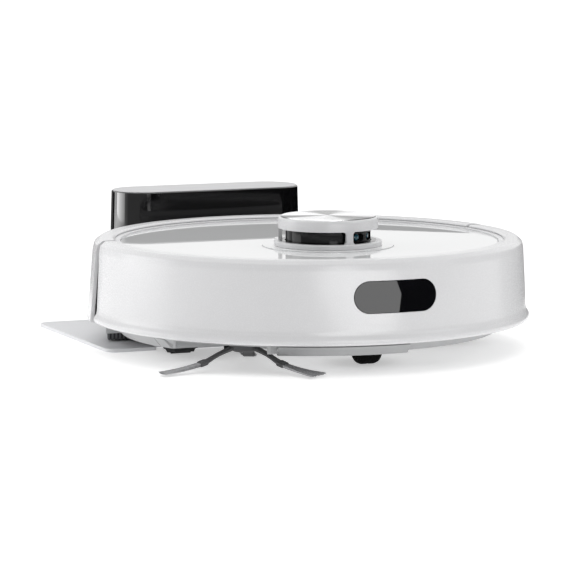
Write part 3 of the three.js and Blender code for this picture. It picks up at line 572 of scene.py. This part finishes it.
def shells():
    """The bumper with its window, and the rear wall with its contact and vent slots."""
    y = ROBOT_Y
    front = keep(lathe("bumper_wall", BUMPER, 0, y, VERY_ROUND, 0.9),
                 block("front_tool", -200, 200, y - 200, SEAM_Y, 0, 120))
    cut(front, window_tool(0.35))
    place(soften(front, 0.3, 2, RIM_SHARP), "bumper", "white_shell", ["bumper"])

    pane = keep(lathe("sensor_window", [(172.15, 40), (171.15, 59), (170.3, 78), (168, 78), (169.6, 40)],
                      0, y, VERY_ROUND, 0), window_tool(0))
    place(soften(pane, 0.35, 3, RIM_SHARP), "bumper", "smoked_window", ["bumper_window"])

    back = keep(lathe("rear_wall", REAR, 0, y, VERY_ROUND, 0.9),
                block("back_tool", -200, 200, SEAM_Y + SEAM_GAP, y + 200, 0, 120))
    for side in (-1, 1):
        tool = across("contact_tool", rounded(-8.4, 8.4, 33.6, 46.4, 1.2, 4), 160, 190)
        cut(back, turn(tool, swung(0, y, 0, -side * CONTACT_TURN)))
    for row in range(4):
        z = 38 + 8 * row
        slot = rounded(y + 74, y + 116, z, z + 3.5, 1.7, 5)
        cut(back, loft("slot_tool", [[(x, py, pz) for py, pz in slot] for x in (118, 190)]))
    place(soften(back, 0.3, 2, RIM_SHARP), "robot", "white_shell", ["rear_shell"])


COVER_TOP = 83.9
BUTTON_X, BUTTON_DY = 10.5, 16                       # buttons, from the robot's centre


def keyhole(name, extra, z0, z1):
    """The turret's round plinth with the button island behind it, grown by extra."""
    radius = 51.5 + extra
    half = 21 + extra
    tail = ROBOT_Y + 27.5 + extra
    corner, steps = 9.0, 120
    meet = math.acos(half / radius)
    sweep = -(TAU - (math.pi - 2 * meet))
    outline = []
    for k in range(steps + 1):
        angle = meet + sweep * k / steps
        outline.append((radius * math.cos(angle), TURRET_Y + radius * math.sin(angle)))
    island = fillet([outline[-1], (-half, tail), (half, tail), outline[0]], corner, 8, closed=False)
    return prism(name, outline + island[1:-1], z0, z1)


def tops():
    """The glossy cover in its ring, the turret's plinth and the two buttons."""
    y = ROBOT_Y
    profile = [(0, 83), (150.2, 83), (150.2, 83.6), (149.8, COVER_TOP), (0, COVER_TOP)]
    cover = lathe("cover_plate", profile, 0, y, VERY_ROUND, 0.15)
    cut(cover, keyhole("key_tool", 0.35, 80, 88))
    place(soften(cover, 0.15, 2, RIM_SHARP), "top_cover", "white_gloss", ["top_cover"])

    slope = [(150.4, 83.2), (151, 83.2), (154.5, 85), (154.5, 85.2), (150.4, 83.8)]
    gap_floor = lathe("gap_floor", slope, 0, y, VERY_ROUND, 0.05)
    place(gap_floor, "robot", "white_shell")

    plinth = keyhole("turret_plinth", 0, 83.2, 84.5)
    cut(plinth, drill(35.5, 80, 90, 0, TURRET_Y))
    for side in (-1, 1):
        cut(plinth, drill(7.6, 80, 90, side * BUTTON_X, y + BUTTON_DY, 64))
    place(soften(plinth, 0.55, 3, RIM_SHARP), "robot", "white_gloss", ["turret_skirt"])

    for node, name, side in (("power_button", "start_button", 1), ("home_button", "dock_button", -1)):
        cap = lathe(name, [(0, 77), (3, 77), (3, 84.3), (7.2, 84.3), (7.2, 86.5), (6.6, 86.8), (4.6, 86.5),
                           (0, 86.2)], side * BUTTON_X, y + BUTTON_DY, 64, 0.25)
        place(cap, node, "white_gloss", [node])
        ring = lathe(name + "_ring", [(5.0, 86.3), (5.5, 86.3), (5.5, 86.78), (5.0, 86.72)],
                     side * BUTTON_X, y + BUTTON_DY, 64, 0.05)
        place(ring, node, "dock_grey")


# ------------------------------------------------------------------ lidar turret
POSTS = (272.9, 32.9, 152.9)                         # directions of the cage's posts
POST_ARC, POST_FLARE = math.radians(8.5), math.radians(2.2)
EYE_Z = 92.6
# The drum's eyes: lens, direction, half length of its slot and the lens's radius.
EYES = (("emitter_lens", -35, 9.0, 2.5), ("receiver_lens", -68, 6.0, 2.7))


def post(angle, y):
    """One post of the cage, an arc in plan, that flares into the rings above and below it."""
    steps = 8
    sections = []
    for z, wide in ((87.8, 1), (88.4, 1), (89.3, 0.3), (90.2, 0), (96.2, 0), (97.1, 0.3), (98, 1), (98.6, 1)):
        ring = []
        for r, order in ((36.4, range(steps + 1)), (39.1, range(steps, -1, -1))):
            for k in order:
                a = math.radians(angle) + (POST_ARC + 2 * wide * POST_FLARE) * (k / steps - 0.5)
                ring.append((r * math.cos(a), y + r * math.sin(a), z))
        sections.append(ring)
    return loft("post", sections)


def turret():
    y = TURRET_Y
    cage = lathe("turret_cage", [(36, 84.6), (42.5, 84.6), (42.5, 87.7), (41.8, 88.4), (36, 88.4)], 0, y,
                 CAGE_ROUND, 0.3)
    crown = lathe("crown", [(0, 104.6), (34.5, 104.6), (35.6, 98), (39.3, 98), (39.3, 105), (38.8, 106.4),
                            (37.9, 107), (37.5, 107), (37.5, 106.2), (0, 106.2)], 0, y, CAGE_ROUND, 0.35)
    join(cage, crown, *(post(angle, y) for angle in POSTS))
    place(cage, "robot", "white_shell", ["turret_cap"])

    plate = lathe("spun_disc", [(0, 106.6), (37.1, 106.6), (37.1, 107.5), (36.6, 107.8), (33.4, 107.8),
                                (33.1, 107.6), (32.8, 107.8), (0, 107.72)], 0, y, CAGE_ROUND, 0.12)
    place(plate, "robot", "spun_aluminium", ["turret_disc"])

    annulus = [(34.1, 84.2), (35.9, 84.2), (35.9, 88.3), (38, 88.3), (38, 88.55), (34.1, 88.55)]
    place(lathe("cage_floor", annulus, 0, y, CAGE_ROUND, 0.05), "robot", "black_gloss")

    drum = lathe("lidar_drum", [(0, 66), (20, 66), (20, 66.8), (19, 67.2), (19, 68.8), (20, 69.2), (20, 70),
                                (11.5, 70), (11.5, 85.4), (30, 85.4), (33.5, 87.4), (33.5, 97), (32.5, 98),
                                (0, 98)], 0, y, FINE, 0.3)
    upright = Matrix.Rotation(math.pi / 2, 4, "X")
    for _, degrees, half, _ in EYES:
        slot = prism("slot_tool", rounded(-half, half, -3.1, 3.1, 2.9, 8), 30.5, 40)
        cut(drum, turn(slot, swung(0, y, EYE_Z, degrees + 90) @ upright))
    place(drum, "lidar_head", "black_gloss", ["lidar_head"])
    for name, degrees, _, radius in EYES:
        dome = [(0, 0), (radius, 0), (radius, 0.5), (radius * 0.7, 1.25), (0, 1.5)]
        glass = lathe(name, dome, 0, 0, 48, 0.2)
        turn(glass, swung(0, y, EYE_Z, degrees + 90) @ Matrix.Translation((0, -30.6 * MM, 0)) @ upright)
        place(glass, "lidar_head", "smoked_window")
        paint(glass, LENS)


# ------------------------------------------------------------------ brushes
HUB_X, HUB_Y = HUB_DX, ROBOT_Y + HUB_DY
ARMS = ((183.0, 5.5, 6.0), (303.0, 9.0, -4.0), (63.0, 6.0, 4.0))  # direction, fan and sway of each tuft
# Sections of an arm's root: distance from the hub, height, half width and half thickness.
ROOT = ((9.5, 17.4, 3.4, 1.5), (12.5, 16.4, 3.5, 1.4), (17, 14.9, 3.3, 1.3), (22, 13, 3.1, 1.2),
        (27, 10.6, 3.3, 1.2), (31.5, 8.3, 3.8, 1.3), (32.5, 7.8, 4.7, 1.9), (37.5, 6.3, 5.0, 1.8),
        (38.3, 6.1, 4.6, 1.2))


def side_brush():
    random.seed(7)
    profile = [(0, 13.6), (4.2, 13.6), (5, 14.2), (8.4, 14.2), (11.5, 16), (12, 19.6), (3, 19.6), (3, 26),
               (0, 26)]
    hub = cut(lathe("brush_hub", profile, HUB_X, HUB_Y, 64, 0.4), drill(2.6, 10, 15.4, HUB_X, HUB_Y, 48))
    place(hub, "side_brush", "brush_rubber", ["side_brush_hub"])
    screw("brush_screw", HUB_X, HUB_Y, 14.6, 2.3, "side_brush")
    octagon = ((-1, -0.6), (-0.8, -1), (0.8, -1), (1, -0.6), (1, 0.6), (0.8, 1), (-0.8, 1), (-1, 0.6))
    for i, (degrees, fan, sway) in enumerate(ARMS, 1):
        sections = [[(r, a * half, z + b * thick) for a, b in octagon] for r, z, half, thick in ROOT]
        spin = swung(HUB_X, HUB_Y, 0, degrees)
        root = turn(loft(f"brush_root_{i}", sections), spin)
        place(soften(root, 0.3, 2), "side_brush", "brush_rubber", [f"side_brush_arm_{i}"])
        tuft(f"brush_tuft_{i}", spin, fan, sway)


def tuft(name, spin, fan, sway):
    """A bundle of bristles that leaves the root's block, bends down to the floor and fans out."""
    bm = bmesh.new()
    strands, steps, sides = 150, 9, 3
    reach, free, drop = 37.0, 35.0, 3.9      # start from the hub, free length, how far it bends down
    for s in range(strands):
        side = random.uniform(-1, 1)
        deep = random.uniform(-1, 1)
        length = random.uniform(0.93, 1.0)
        bend = random.gauss(0, 0.8)
        rings = []
        for k in range(steps + 1):
            t = k / steps
            r = reach + free * t * length
            lateral = side * (4.0 + (fan - 4.0) * t ** 1.4) + sway * t ** 2 + bend * t ** 2
            z = 6.3 - drop * (1 - (1 - t) ** 2) + deep * (1.1 - 0.4 * t)
            thick = 0.24 * (1 - 0.35 * t)
            ring = []
            for q in range(sides):
                a = TAU * q / sides
                ring.append(bm.verts.new((r, lateral + thick * math.cos(a), z + thick * math.sin(a))))
            rings.append(ring)
        for a, b in zip(rings, rings[1:]):
            for q in range(sides):
                bm.faces.new((a[q], a[(q + 1) % sides], b[(q + 1) % sides], b[q]))
        bm.faces.new(rings[0])
        bm.faces.new(rings[-1])
    piece = turn(as_object(name, bm), spin)
    place(piece, "side_brush", "side_bristle")


SCREW_TURN = math.degrees(0.4)


def screw(name, x, y, z, radius, body):
    """A pan head with a cross recess, seen from below."""
    profile = [(0, z - 0.7), (radius * 0.7, z - 0.6), (radius, z), (radius, z + 0.6), (0, z + 0.6)]
    head = lathe(name, profile, x, y, 40, 0.2)
    for degrees in (SCREW_TURN, SCREW_TURN + 90):
        bar = block("bar", -radius * 0.6, radius * 0.6, -0.3, 0.3, z - 2, z - 0.15)
        cut(head, turn(bar, swung(x, y, 0, degrees)))
    place(head, body, "steel")


BRUSH_Y = ROBOT_Y - 8


def main_brush():
    """A rubber core with six fins set in a V, every other one a row of bristles."""
    y, z = BRUSH_Y, 21.8
    root, reach, half_long = 9.5, 20.6, 78.5
    sweep, lean = 0.55, 0.02             # how far the V turns in the middle, and how far a fin leans per mm
    core = lathe("brush_roller", [(0, -83.4), (3.5, -83.4), (3.5, -79), (10, -79), (10, 79), (3.5, 79),
                                  (3.5, 83.4), (0, 83.4)], 0, 0, 64, 0.6)
    about_x(core, 0, y, z)
    bm = bmesh.new()
    steps = 36
    for fin in range(6):
        for k in range(steps):
            ends = []
            for j in (k, k + 1):
                x = half_long * (2 * j / steps - 1)
                twist = fin * TAU / 6 + sweep * (1 - abs(x) / half_long)
                ring = []
                for r, half in ((root, 1.3), (reach, 0.6)):
                    for s in (-1, 1):
                        a = twist + s * half / r + (r - root) * lean
                        ring.append((x, y + r * math.cos(a), z + r * math.sin(a)))
                ends.append(ring)
            if fin % 2 and k % 2:
                continue
            a, b = ([bm.verts.new(p) for p in ring] for ring in ends)
            for q in ((0, 2), (2, 3), (3, 1), (1, 0)):
                bm.faces.new((a[q[0]], a[q[1]], b[q[1]], b[q[0]]))
            if fin % 2 or k == 0:
                bm.faces.new((a[0], a[1], a[3], a[2]))
            if fin % 2 or k == steps - 1:
                bm.faces.new((b[0], b[1], b[3], b[2]))
    fins = as_object("brush_fins", bm)
    place(core, "main_brush", "brush_rubber", ["main_brush"])
    place(fins, "main_brush", "tyre_rubber")


def guard():
    """The frame under the main brush, with four wires that bow down across its opening."""
    y = BRUSH_Y
    border = block("brush_frame", -86, 86, y - 30, y + 30, 9.5, 13.6, 5)
    cut(border, block("guard_tool", -80.5, 80.5, y - 21.5, y + 21.5, 5, 20, 3))
    place(soften(border, 0.6, 2), "robot", "inner_grey", ["brush_guard"])
    bow = ((-22.5, 0), (-12, 1.9), (0, 2.5), (12, 1.9), (22.5, 0))
    for i, x in enumerate((-48, -16, 16, 48), 1):
        wire = [(x + 0.9 * math.cos(TAU * k / 10), 1.2 * math.sin(TAU * k / 10)) for k in range(10)]
        bar = loft(f"guard_wire_{i}", [[(a, y + dy, 11.0 - sag + b) for a, b in wire] for dy, sag in bow])
        place(bar, "robot", "inner_grey")


# ------------------------------------------------------------------ mop
def half_disc(radius, front, steps=96):
    """The part of a disc behind a straight front edge, as an outline with its corners just blunted."""
    start = math.asin(front / radius)
    turns = [start + (math.pi - 2 * start) * k / steps for k in range(steps + 1)]
    return fillet([(radius * math.cos(a), ROBOT_Y + radius * math.sin(a)) for a in turns], 0.001, 1)


def mop():
    plate = prism("mop_plate", half_disc(162, 57), 9.5, 13.6)
    place(soften(plate, 0.7, 2), "mop", "grey_underside", ["mop_bracket"])
    paint(plate, FINISH["white_shell"])
    place(ribbed_pad("mop_pad", 161.0, 58.0), "mop", "mop_fabric", ["mop_cloth"])


def ribbed_pad(name, radius, front, low=3.5, high=9.3, pitch=3.2, deep=1.1):
    """The mop's soft pad: a D shape with ribs from front to back and edges tucked up."""
    rows, columns = 36, 560
    bm = bmesh.new()
    sections = []
    for row in range(rows + 1):
        along = front + (radius - 0.6 - front) * (row / rows) ** 1.6
        sections.append((along, math.sqrt(radius ** 2 - along ** 2)))
    lower, upper = [], []
    for along, half in sections:
        line_low, line_up = [], []
        for c in range(columns + 1):
            x = half * (2 * c / columns - 1)
            edge = min(1.0, (half - abs(x)) / 2.2, (along - front + 0.15) / 1.6)
            tuck = 1.4 * (1 - max(0.0, edge) ** 0.5)
            rib = deep * (1 - abs(math.sin(math.pi * x / pitch)) ** 0.7)
            line_low.append(bm.verts.new((x, ROBOT_Y + along, low + rib + tuck)))
            line_up.append(bm.verts.new((x, ROBOT_Y + along, high)))
        lower.append(line_low)
        upper.append(line_up)
    last = len(sections) - 1
    for r in range(last):
        for c in range(columns):
            bm.faces.new((lower[r][c], lower[r][c + 1], lower[r + 1][c + 1], lower[r + 1][c]))
            bm.faces.new((upper[r][c], upper[r + 1][c], upper[r + 1][c + 1], upper[r][c + 1]))
        for c in (0, columns):
            bm.faces.new((lower[r][c], lower[r + 1][c], upper[r + 1][c], upper[r][c]))
    for r in (0, last):
        for c in range(columns):
            bm.faces.new((lower[r][c], upper[r][c], upper[r][c + 1], lower[r][c + 1]))
    pad = as_object(name, bm)
    return pad


# ------------------------------------------------------------------ wheels
def castor():
    y, z = ROBOT_Y + CASTOR_DY - 8, 16       # the wheel trails 8 mm from the pivot
    profile = [(0, 13), (24.7, 13), (25.5, 13.8), (25.5, 36), (4, 36), (4, 47), (0, 47)]
    housing = lathe("castor_housing", profile, 0, ROBOT_Y + CASTOR_DY, FINE, 0.5)
    cut(housing, block("yoke_tool", -9.8, 9.8, y - 55, y + 17.2, 0, 33.5),
        about_x(drill(2.3, -16, 16, segments=32), 0, y, z))
    place(soften(housing, 0.4, 2), "castor_fork", "black_matte", ["castor_fork"])
    axle = lathe("castor_axle", [(0, -14), (2, -14), (2, 14), (0, 14)], 0, 0, 32, 0.3)
    place(about_x(axle, 0, y, z), "castor_fork", "steel")
    half_wheel = [(12.6, 9), (15, 7.6), (16, 5), (16, 1)]
    tread = [(r, -h) for r, h in half_wheel] + [(15.6, 0)] + half_wheel[::-1]
    wheel = lathe("castor_roller", [(2.4, -9)] + tread + [(2.4, 9)], 0, 0, 72, 0.5)
    place(about_x(wheel, 0, y, z), "castor_wheel", "black_gloss", ["castor_wheel"])
    paint(wheel, CASTOR_BLACK)
    paint(housing, CASTOR_BLACK)


LUGS, LUG_BASE, LUG_HIGH = 26, 33.4, 1.5             # lugs round a tyre, the groove's radius, their height


def lugs(angle, r, h):
    """The tread's radius at a place: lugs set in a V across the tyre, and the plain radius beside them."""
    if r < 33.9:
        return r
    phase = (angle * LUGS / TAU + 0.055 * (8 - abs(h))) % 1
    raised = max(0.0, min(1.0, 4.2 * (0.34 - abs(phase - 0.5))))
    return LUG_BASE + LUG_HIGH * raised


def drive_wheels():
    profile = [(27.5, -9), (33, -9)] + [(34, -8 + 16 * k / 24) for k in range(25)] + [(33, 9), (27.5, 9)]
    for name, side in (("right", -1), ("left", 1)):
        x, y, z = side * 113, ROBOT_Y - 4, 35
        tyre = lathe(f"tread_{name}", profile, 0, 0, 312, 0, lugs)
        place(about_x(tyre, x, y, z), f"drive_wheel_{name}", "tyre_rubber", [f"tyre_{name}"])
        rim = [(0, -8), (26.2, -8), (27.1, -7), (27.1, 8), (23, 8), (21, 4), (9, 4), (8, 8), (0, 8)]
        hub = about_x(lathe(f"rim_{name}", [(r, h * side) for r, h in rim], 0, 0, FINE, 0.4), x, y, z)
        for k in range(6):
            a = TAU * k / 6
            cut(hub, about_x(drill(3.4, -12, 12, segments=32), x + side * 14, y + 15 * math.cos(a),
                             z + 15 * math.sin(a)))
        axle = about_x(lathe("axle", [(0, -7), (3, -7), (3, 7), (0, 7)], 0, 0, 32, 0.3), side * 99, y, z)
        join(hub, axle)
        place(hub, f"drive_wheel_{name}", "inner_grey", [f"wheel_hub_{name}"])


# ------------------------------------------------------------------ dock
TOWER_W, TOWER_D, TOWER_TOP = 166.0, 54.0, 106.0
DRAFT = math.tan(math.radians(1.6))


def tower_ring(inset, z, start=0.0, stop=TAU, steps=96, extra=0.0):
    """Part of the tower's outline at a height, from one direction round to another."""
    spine = (TOWER_W - TOWER_D) / 2
    radius = TOWER_D / 2 - inset + (TOWER_TOP - z) * DRAFT + extra
    ring = []
    for k in range(steps + 1):
        angle = start + (stop - start) * k / steps
        middle = spine if math.cos(angle) > 1e-9 else -spine if math.cos(angle) < -1e-9 else 0.0
        ring.append((middle + radius * math.cos(angle), DOCK_Y + radius * math.sin(angle), z))
    return ring


def dock():
    levels = (8.4, 9.0, 40, 72, 104.7, 105.2)
    joint = 0.004                        # half of the split between the shells, as an angle
    for name, node, a0, a1, finish in (
        ("tower_front", "dock_front_shell", math.pi + joint, TAU - joint, "black_gloss"),
        ("tower_back", "dock_rear_shell", joint, math.pi - joint, "black_matte"),
    ):
        sections = []
        for z in levels:
            shrink = 0.45 if z in (levels[0], levels[-1]) else 0.0
            sections.append(tower_ring(shrink, z, a0, a1) + tower_ring(2.5, z, a1, a0))
        shell = loft(name, sections)
        if node == "dock_rear_shell":
            inlet = rounded(51.6, 64.4, 10.6, 23.4, 1.5, 5)
            cut(shell, across("inlet_tool", inlet, DOCK_Y + 11, DOCK_Y + 41))
        place(shell, "dock", finish, [node])
        if finish == "black_gloss":
            paint(shell, LACQUER)

    foot = []
    for z, inset in ((0, 1.2), (1.2, 0.3), (2.4, 0.0), (7.2, 0.0), (8.0, 0.7)):
        foot.append(tower_ring(inset, z)[:-1])
    place(loft("tower_foot", foot), "dock", "black_matte", ["dock_base"])

    lid = [(102.6, 2.8), (105.3, 2.8), (105.3, 0.9), (105.6, 0.75), (105.9, 0.95), (106.0, 1.5)]
    place(loft("tower_top", [tower_ring(inset, z)[:-1] for z, inset in lid]), "dock", "dock_grey",
          ["dock_top_cap"])

    y = ROBOT_Y
    sheet = block("floor_mat", -165, 165, y + 15, y + 188, 0, 3, 9)
    join(sheet, block("tongue", -70, 70, y + 186, DOCK_Y - 30.4, 0, 3))
    for side in (-1, 1):
        low, high = sorted((side * 101.5, side * 124.5))
        cut(sheet, block("notch", low, high, y + 5, y + 31, -1, 4, 3))
    soften(sheet, 0.8, 3)
    for i in range(5):
        groove_y = y + 150 + 6 * i
        cut(sheet, block("groove", -60, 60, groove_y, groove_y + 2, 2.4, 4, 0.9))
    place(sheet, "dock", "mat_white", ["dock_mat"])

    nose = across("charge_nose", rounded(-44, 44, 27, 53, 8, 8), y + 179.4, y + 199.6)
    soften(nose, 1.0, 3)
    for x in (-CONTACT_X, CONTACT_X):
        cut(nose, across("pad_tool", rounded(x - 8.6, x + 8.6, 33.4, 46.6, 1.4, 4), y + 178, y + 182.8))
    place(nose, "dock", "black_gloss", ["dock_nose"])

    eye = across("signal_window", rounded(-13, 13, 70, 82, 5.9, 8), DOCK_Y - 28.05, DOCK_Y - 25)
    place(soften(eye, 0.4, 2), "dock", "smoked_window")


# ------------------------------------------------------------------ small parts underneath
def underside_at(x, dy):
    """The height of the casing's underside at a place given from the robot's centre."""
    x0, x1, back = CASTOR_PAD_BOX
    if x0 < x < x1 and dy < back:
        return CASTOR_PAD
    near, _, front, rear = WELL_PAD_BOX
    return WELL_PAD if abs(x) > near and front < dy < rear else PAN_Z


def underside_details():
    y = ROBOT_Y
    spots = ((74, -121), (-40, -140), (138, 34), (-138, 34), (92, -70), (-70, -52), (95, 38), (-95, 38))
    for i, (x, dy) in enumerate(spots, 1):
        screw(f"case_screw_{i}", x, y + dy, underside_at(x, dy), 2.9, "robot")
    for i, degrees in enumerate((-96, -68, -14, 194), 1):
        a = math.radians(degrees)
        x, dy = 139 * math.cos(a), 139 * math.sin(a)
        low = underside_at(x, dy)
        eye = prism(f"cliff_sensor_{i}", rounded(-8, 8, -3.4, 3.4, 3.3, 8), low - 0.5, low + 2)
        turn(eye, swung(x, y + dy, 0, degrees + 90))
        place(soften(eye, 0.4, 2), "robot", "smoked_window")


casing()
shells()
tops()
turret()
side_brush()
main_brush()
guard()
mop()
castor()
drive_wheels()
dock()
underside_details()

# ------------------------------------------------------------------ floor, light and camera
scene = bpy.context.scene


def card(name, width, height):
    """A flat rectangle in metres, facing up, not yet in the scene."""
    w, h = width / 2, height / 2
    bm = bmesh.new()
    bm.faces.new([bm.verts.new(p) for p in ((-w, -h, 0), (w, -h, 0), (w, h, 0), (-w, h, 0))])
    mesh = bpy.data.meshes.new(name)
    bm.to_mesh(mesh)
    bm.free()
    return bpy.data.objects.new(name, mesh)


def floor():
    """A pale floor that glows a little, so that it stays as light as the photo's."""
    ground = card("floor", 120.0, 120.0)
    ground.location.z = -0.0002
    scene.collection.objects.link(ground)
    pale = surface("studio_floor", (0.80, 0.80, 0.80), 0.7, specular=0.05, tint=0.004, tint_scale=3,
                   swing=0.02, grain=300, bump=0.01)
    glow = pale.node_tree.nodes["Principled BSDF"].inputs
    glow["Emission Color"].default_value = (1, 1, 1, 1)
    glow["Emission Strength"].default_value = 0.44
    paint(ground, pale)


def direction(azimuth, elevation):
    """A unit vector from the object, azimuth 0 straight ahead of the robot, in degrees."""
    a, e = math.radians(azimuth), math.radians(elevation)
    return Vector((math.sin(a) * math.cos(e), -math.cos(a) * math.cos(e), math.sin(e)))


def aim(thing, azimuth, elevation, distance, height, lean):
    """Stands a light or a flag in a direction from the robot, facing the robot."""
    toward = direction(azimuth, elevation)
    thing.location = Vector((0, ROBOT.y, height)) + toward * distance
    thing.rotation_mode = "QUATERNION"
    upright = toward.to_track_quat("Z", "Y")
    thing.rotation_quaternion = upright @ Matrix.Rotation(math.radians(lean), 4, "Z").to_quaternion()
    scene.collection.objects.link(thing)


def soft_box(name, width, height, radiance, azimuth, elevation=0.0, distance=2.0, stand=0.06, lean=0.0,
             glossy_only=False):
    """A rectangular light of a given radiance, which the camera doesn't see."""
    light = bpy.data.lights.new(name, "AREA")
    light.shape = "RECTANGLE"
    light.size, light.size_y = width, height
    light.energy = radiance * math.pi * width * height
    lamp = bpy.data.objects.new(name, light)
    aim(lamp, azimuth, elevation, distance, stand, lean)
    lamp.visible_camera = False
    lamp.visible_diffuse = not glossy_only
    return lamp


def flag(name, width, height, azimuth, distance, stand):
    """A black card that only reflections see."""
    board = card(name, width, height)
    aim(board, azimuth, 0.0, distance, stand, 0.0)
    board.visible_camera = board.visible_diffuse = board.visible_shadow = False
    paint(board, surface(name, (0.002, 0.002, 0.002), 0.9, specular=0.0))


def sky_lobe(nodes, links, where, middle, narrow, strength):
    """A soft bright patch of the studio's walls round its middle."""
    facing = nodes.new("ShaderNodeVectorMath")
    facing.operation = "DOT_PRODUCT"
    facing.inputs[1].default_value = Vector(middle).normalized()
    links.new(where, facing.inputs[0])
    fade = nodes.new("ShaderNodeMapRange")
    fade.interpolation_type = "SMOOTHSTEP"
    fade.inputs["From Min"].default_value = narrow
    fade.inputs["To Max"].default_value = strength
    links.new(facing.outputs["Value"], fade.inputs["Value"])
    return fade.outputs["Result"]


SKY = (((0, 0, 1), 0.15, 0.88), ((0.38, 0.92, 0.1), 0.2, 0.90))      # middle, narrowness, strength
SKY_BASE = 0.06


def studio():
    """The walls' glow as the world, four soft boxes and the black cards."""
    world = bpy.data.worlds.new("studio")
    scene.world = world
    world.use_nodes = True
    nodes, links = world.node_tree.nodes, world.node_tree.links
    where = nodes.new("ShaderNodeTexCoord").outputs["Generated"]
    total = None
    for middle, narrow, strength in SKY:
        lobe = sky_lobe(nodes, links, where, middle, narrow, strength)
        add = nodes.new("ShaderNodeMath")
        add.operation = "ADD"
        links.new(lobe, add.inputs[0])
        if total is None:
            add.inputs[1].default_value = SKY_BASE
        else:
            links.new(total, add.inputs[1])
        total = add.outputs["Value"]
    links.new(total, nodes["Background"].inputs["Strength"])
    nodes["Background"].inputs["Color"].default_value = (1.0, 1.0, 1.0, 1)
    soft_box("left_box", 0.85, 0.9, 2.6, -117, distance=1.35, stand=0.33)
    soft_box("right_box", 1.2, 1.0, 2.2, 48, 24, distance=2.4)
    soft_box("top_box", 1.8, 1.8, 0.5, 0, 90, distance=2.2)
    # The sensor window mirrors this box in its near half, up to the box's slanted edge.
    soft_box("front_box", 0.22, 0.12, 3.5, -2.9, distance=0.371, stand=0.0627, lean=-33.6, glossy_only=True)
    # Black cards darken what the window's other half, the walls and the tower mirror.
    flag("front_flag", 1.3, 0.62, 24, 0.95, 0.29)
    flag("tower_flag_right", 0.5, 0.12, 140, 0.36, 0.055)
    flag("tower_flag_side", 0.26, 0.12, 95.1, 0.351, 0.055)
    flag("tower_flag_rear", 0.3, 0.12, -168.7, 0.511, 0.055)


def camera():
    """A long lens at the photo's angle."""
    lens = bpy.data.cameras.new("camera")
    lens.lens = 235.5
    lens.sensor_width = 36.0
    view = bpy.data.objects.new("camera", lens)
    scene.collection.objects.link(view)
    target, distance = Vector((-0.0197, -0.0334, 0.050)), 2.947
    back = direction(-22.4, 7.1)
    view.location = target + back * distance
    view.rotation_mode = "QUATERNION"
    view.rotation_quaternion = (-back).to_track_quat("-Z", "Y")
    scene.camera = view


floor()
studio()
camera()
scene.view_settings.view_transform = "Standard"
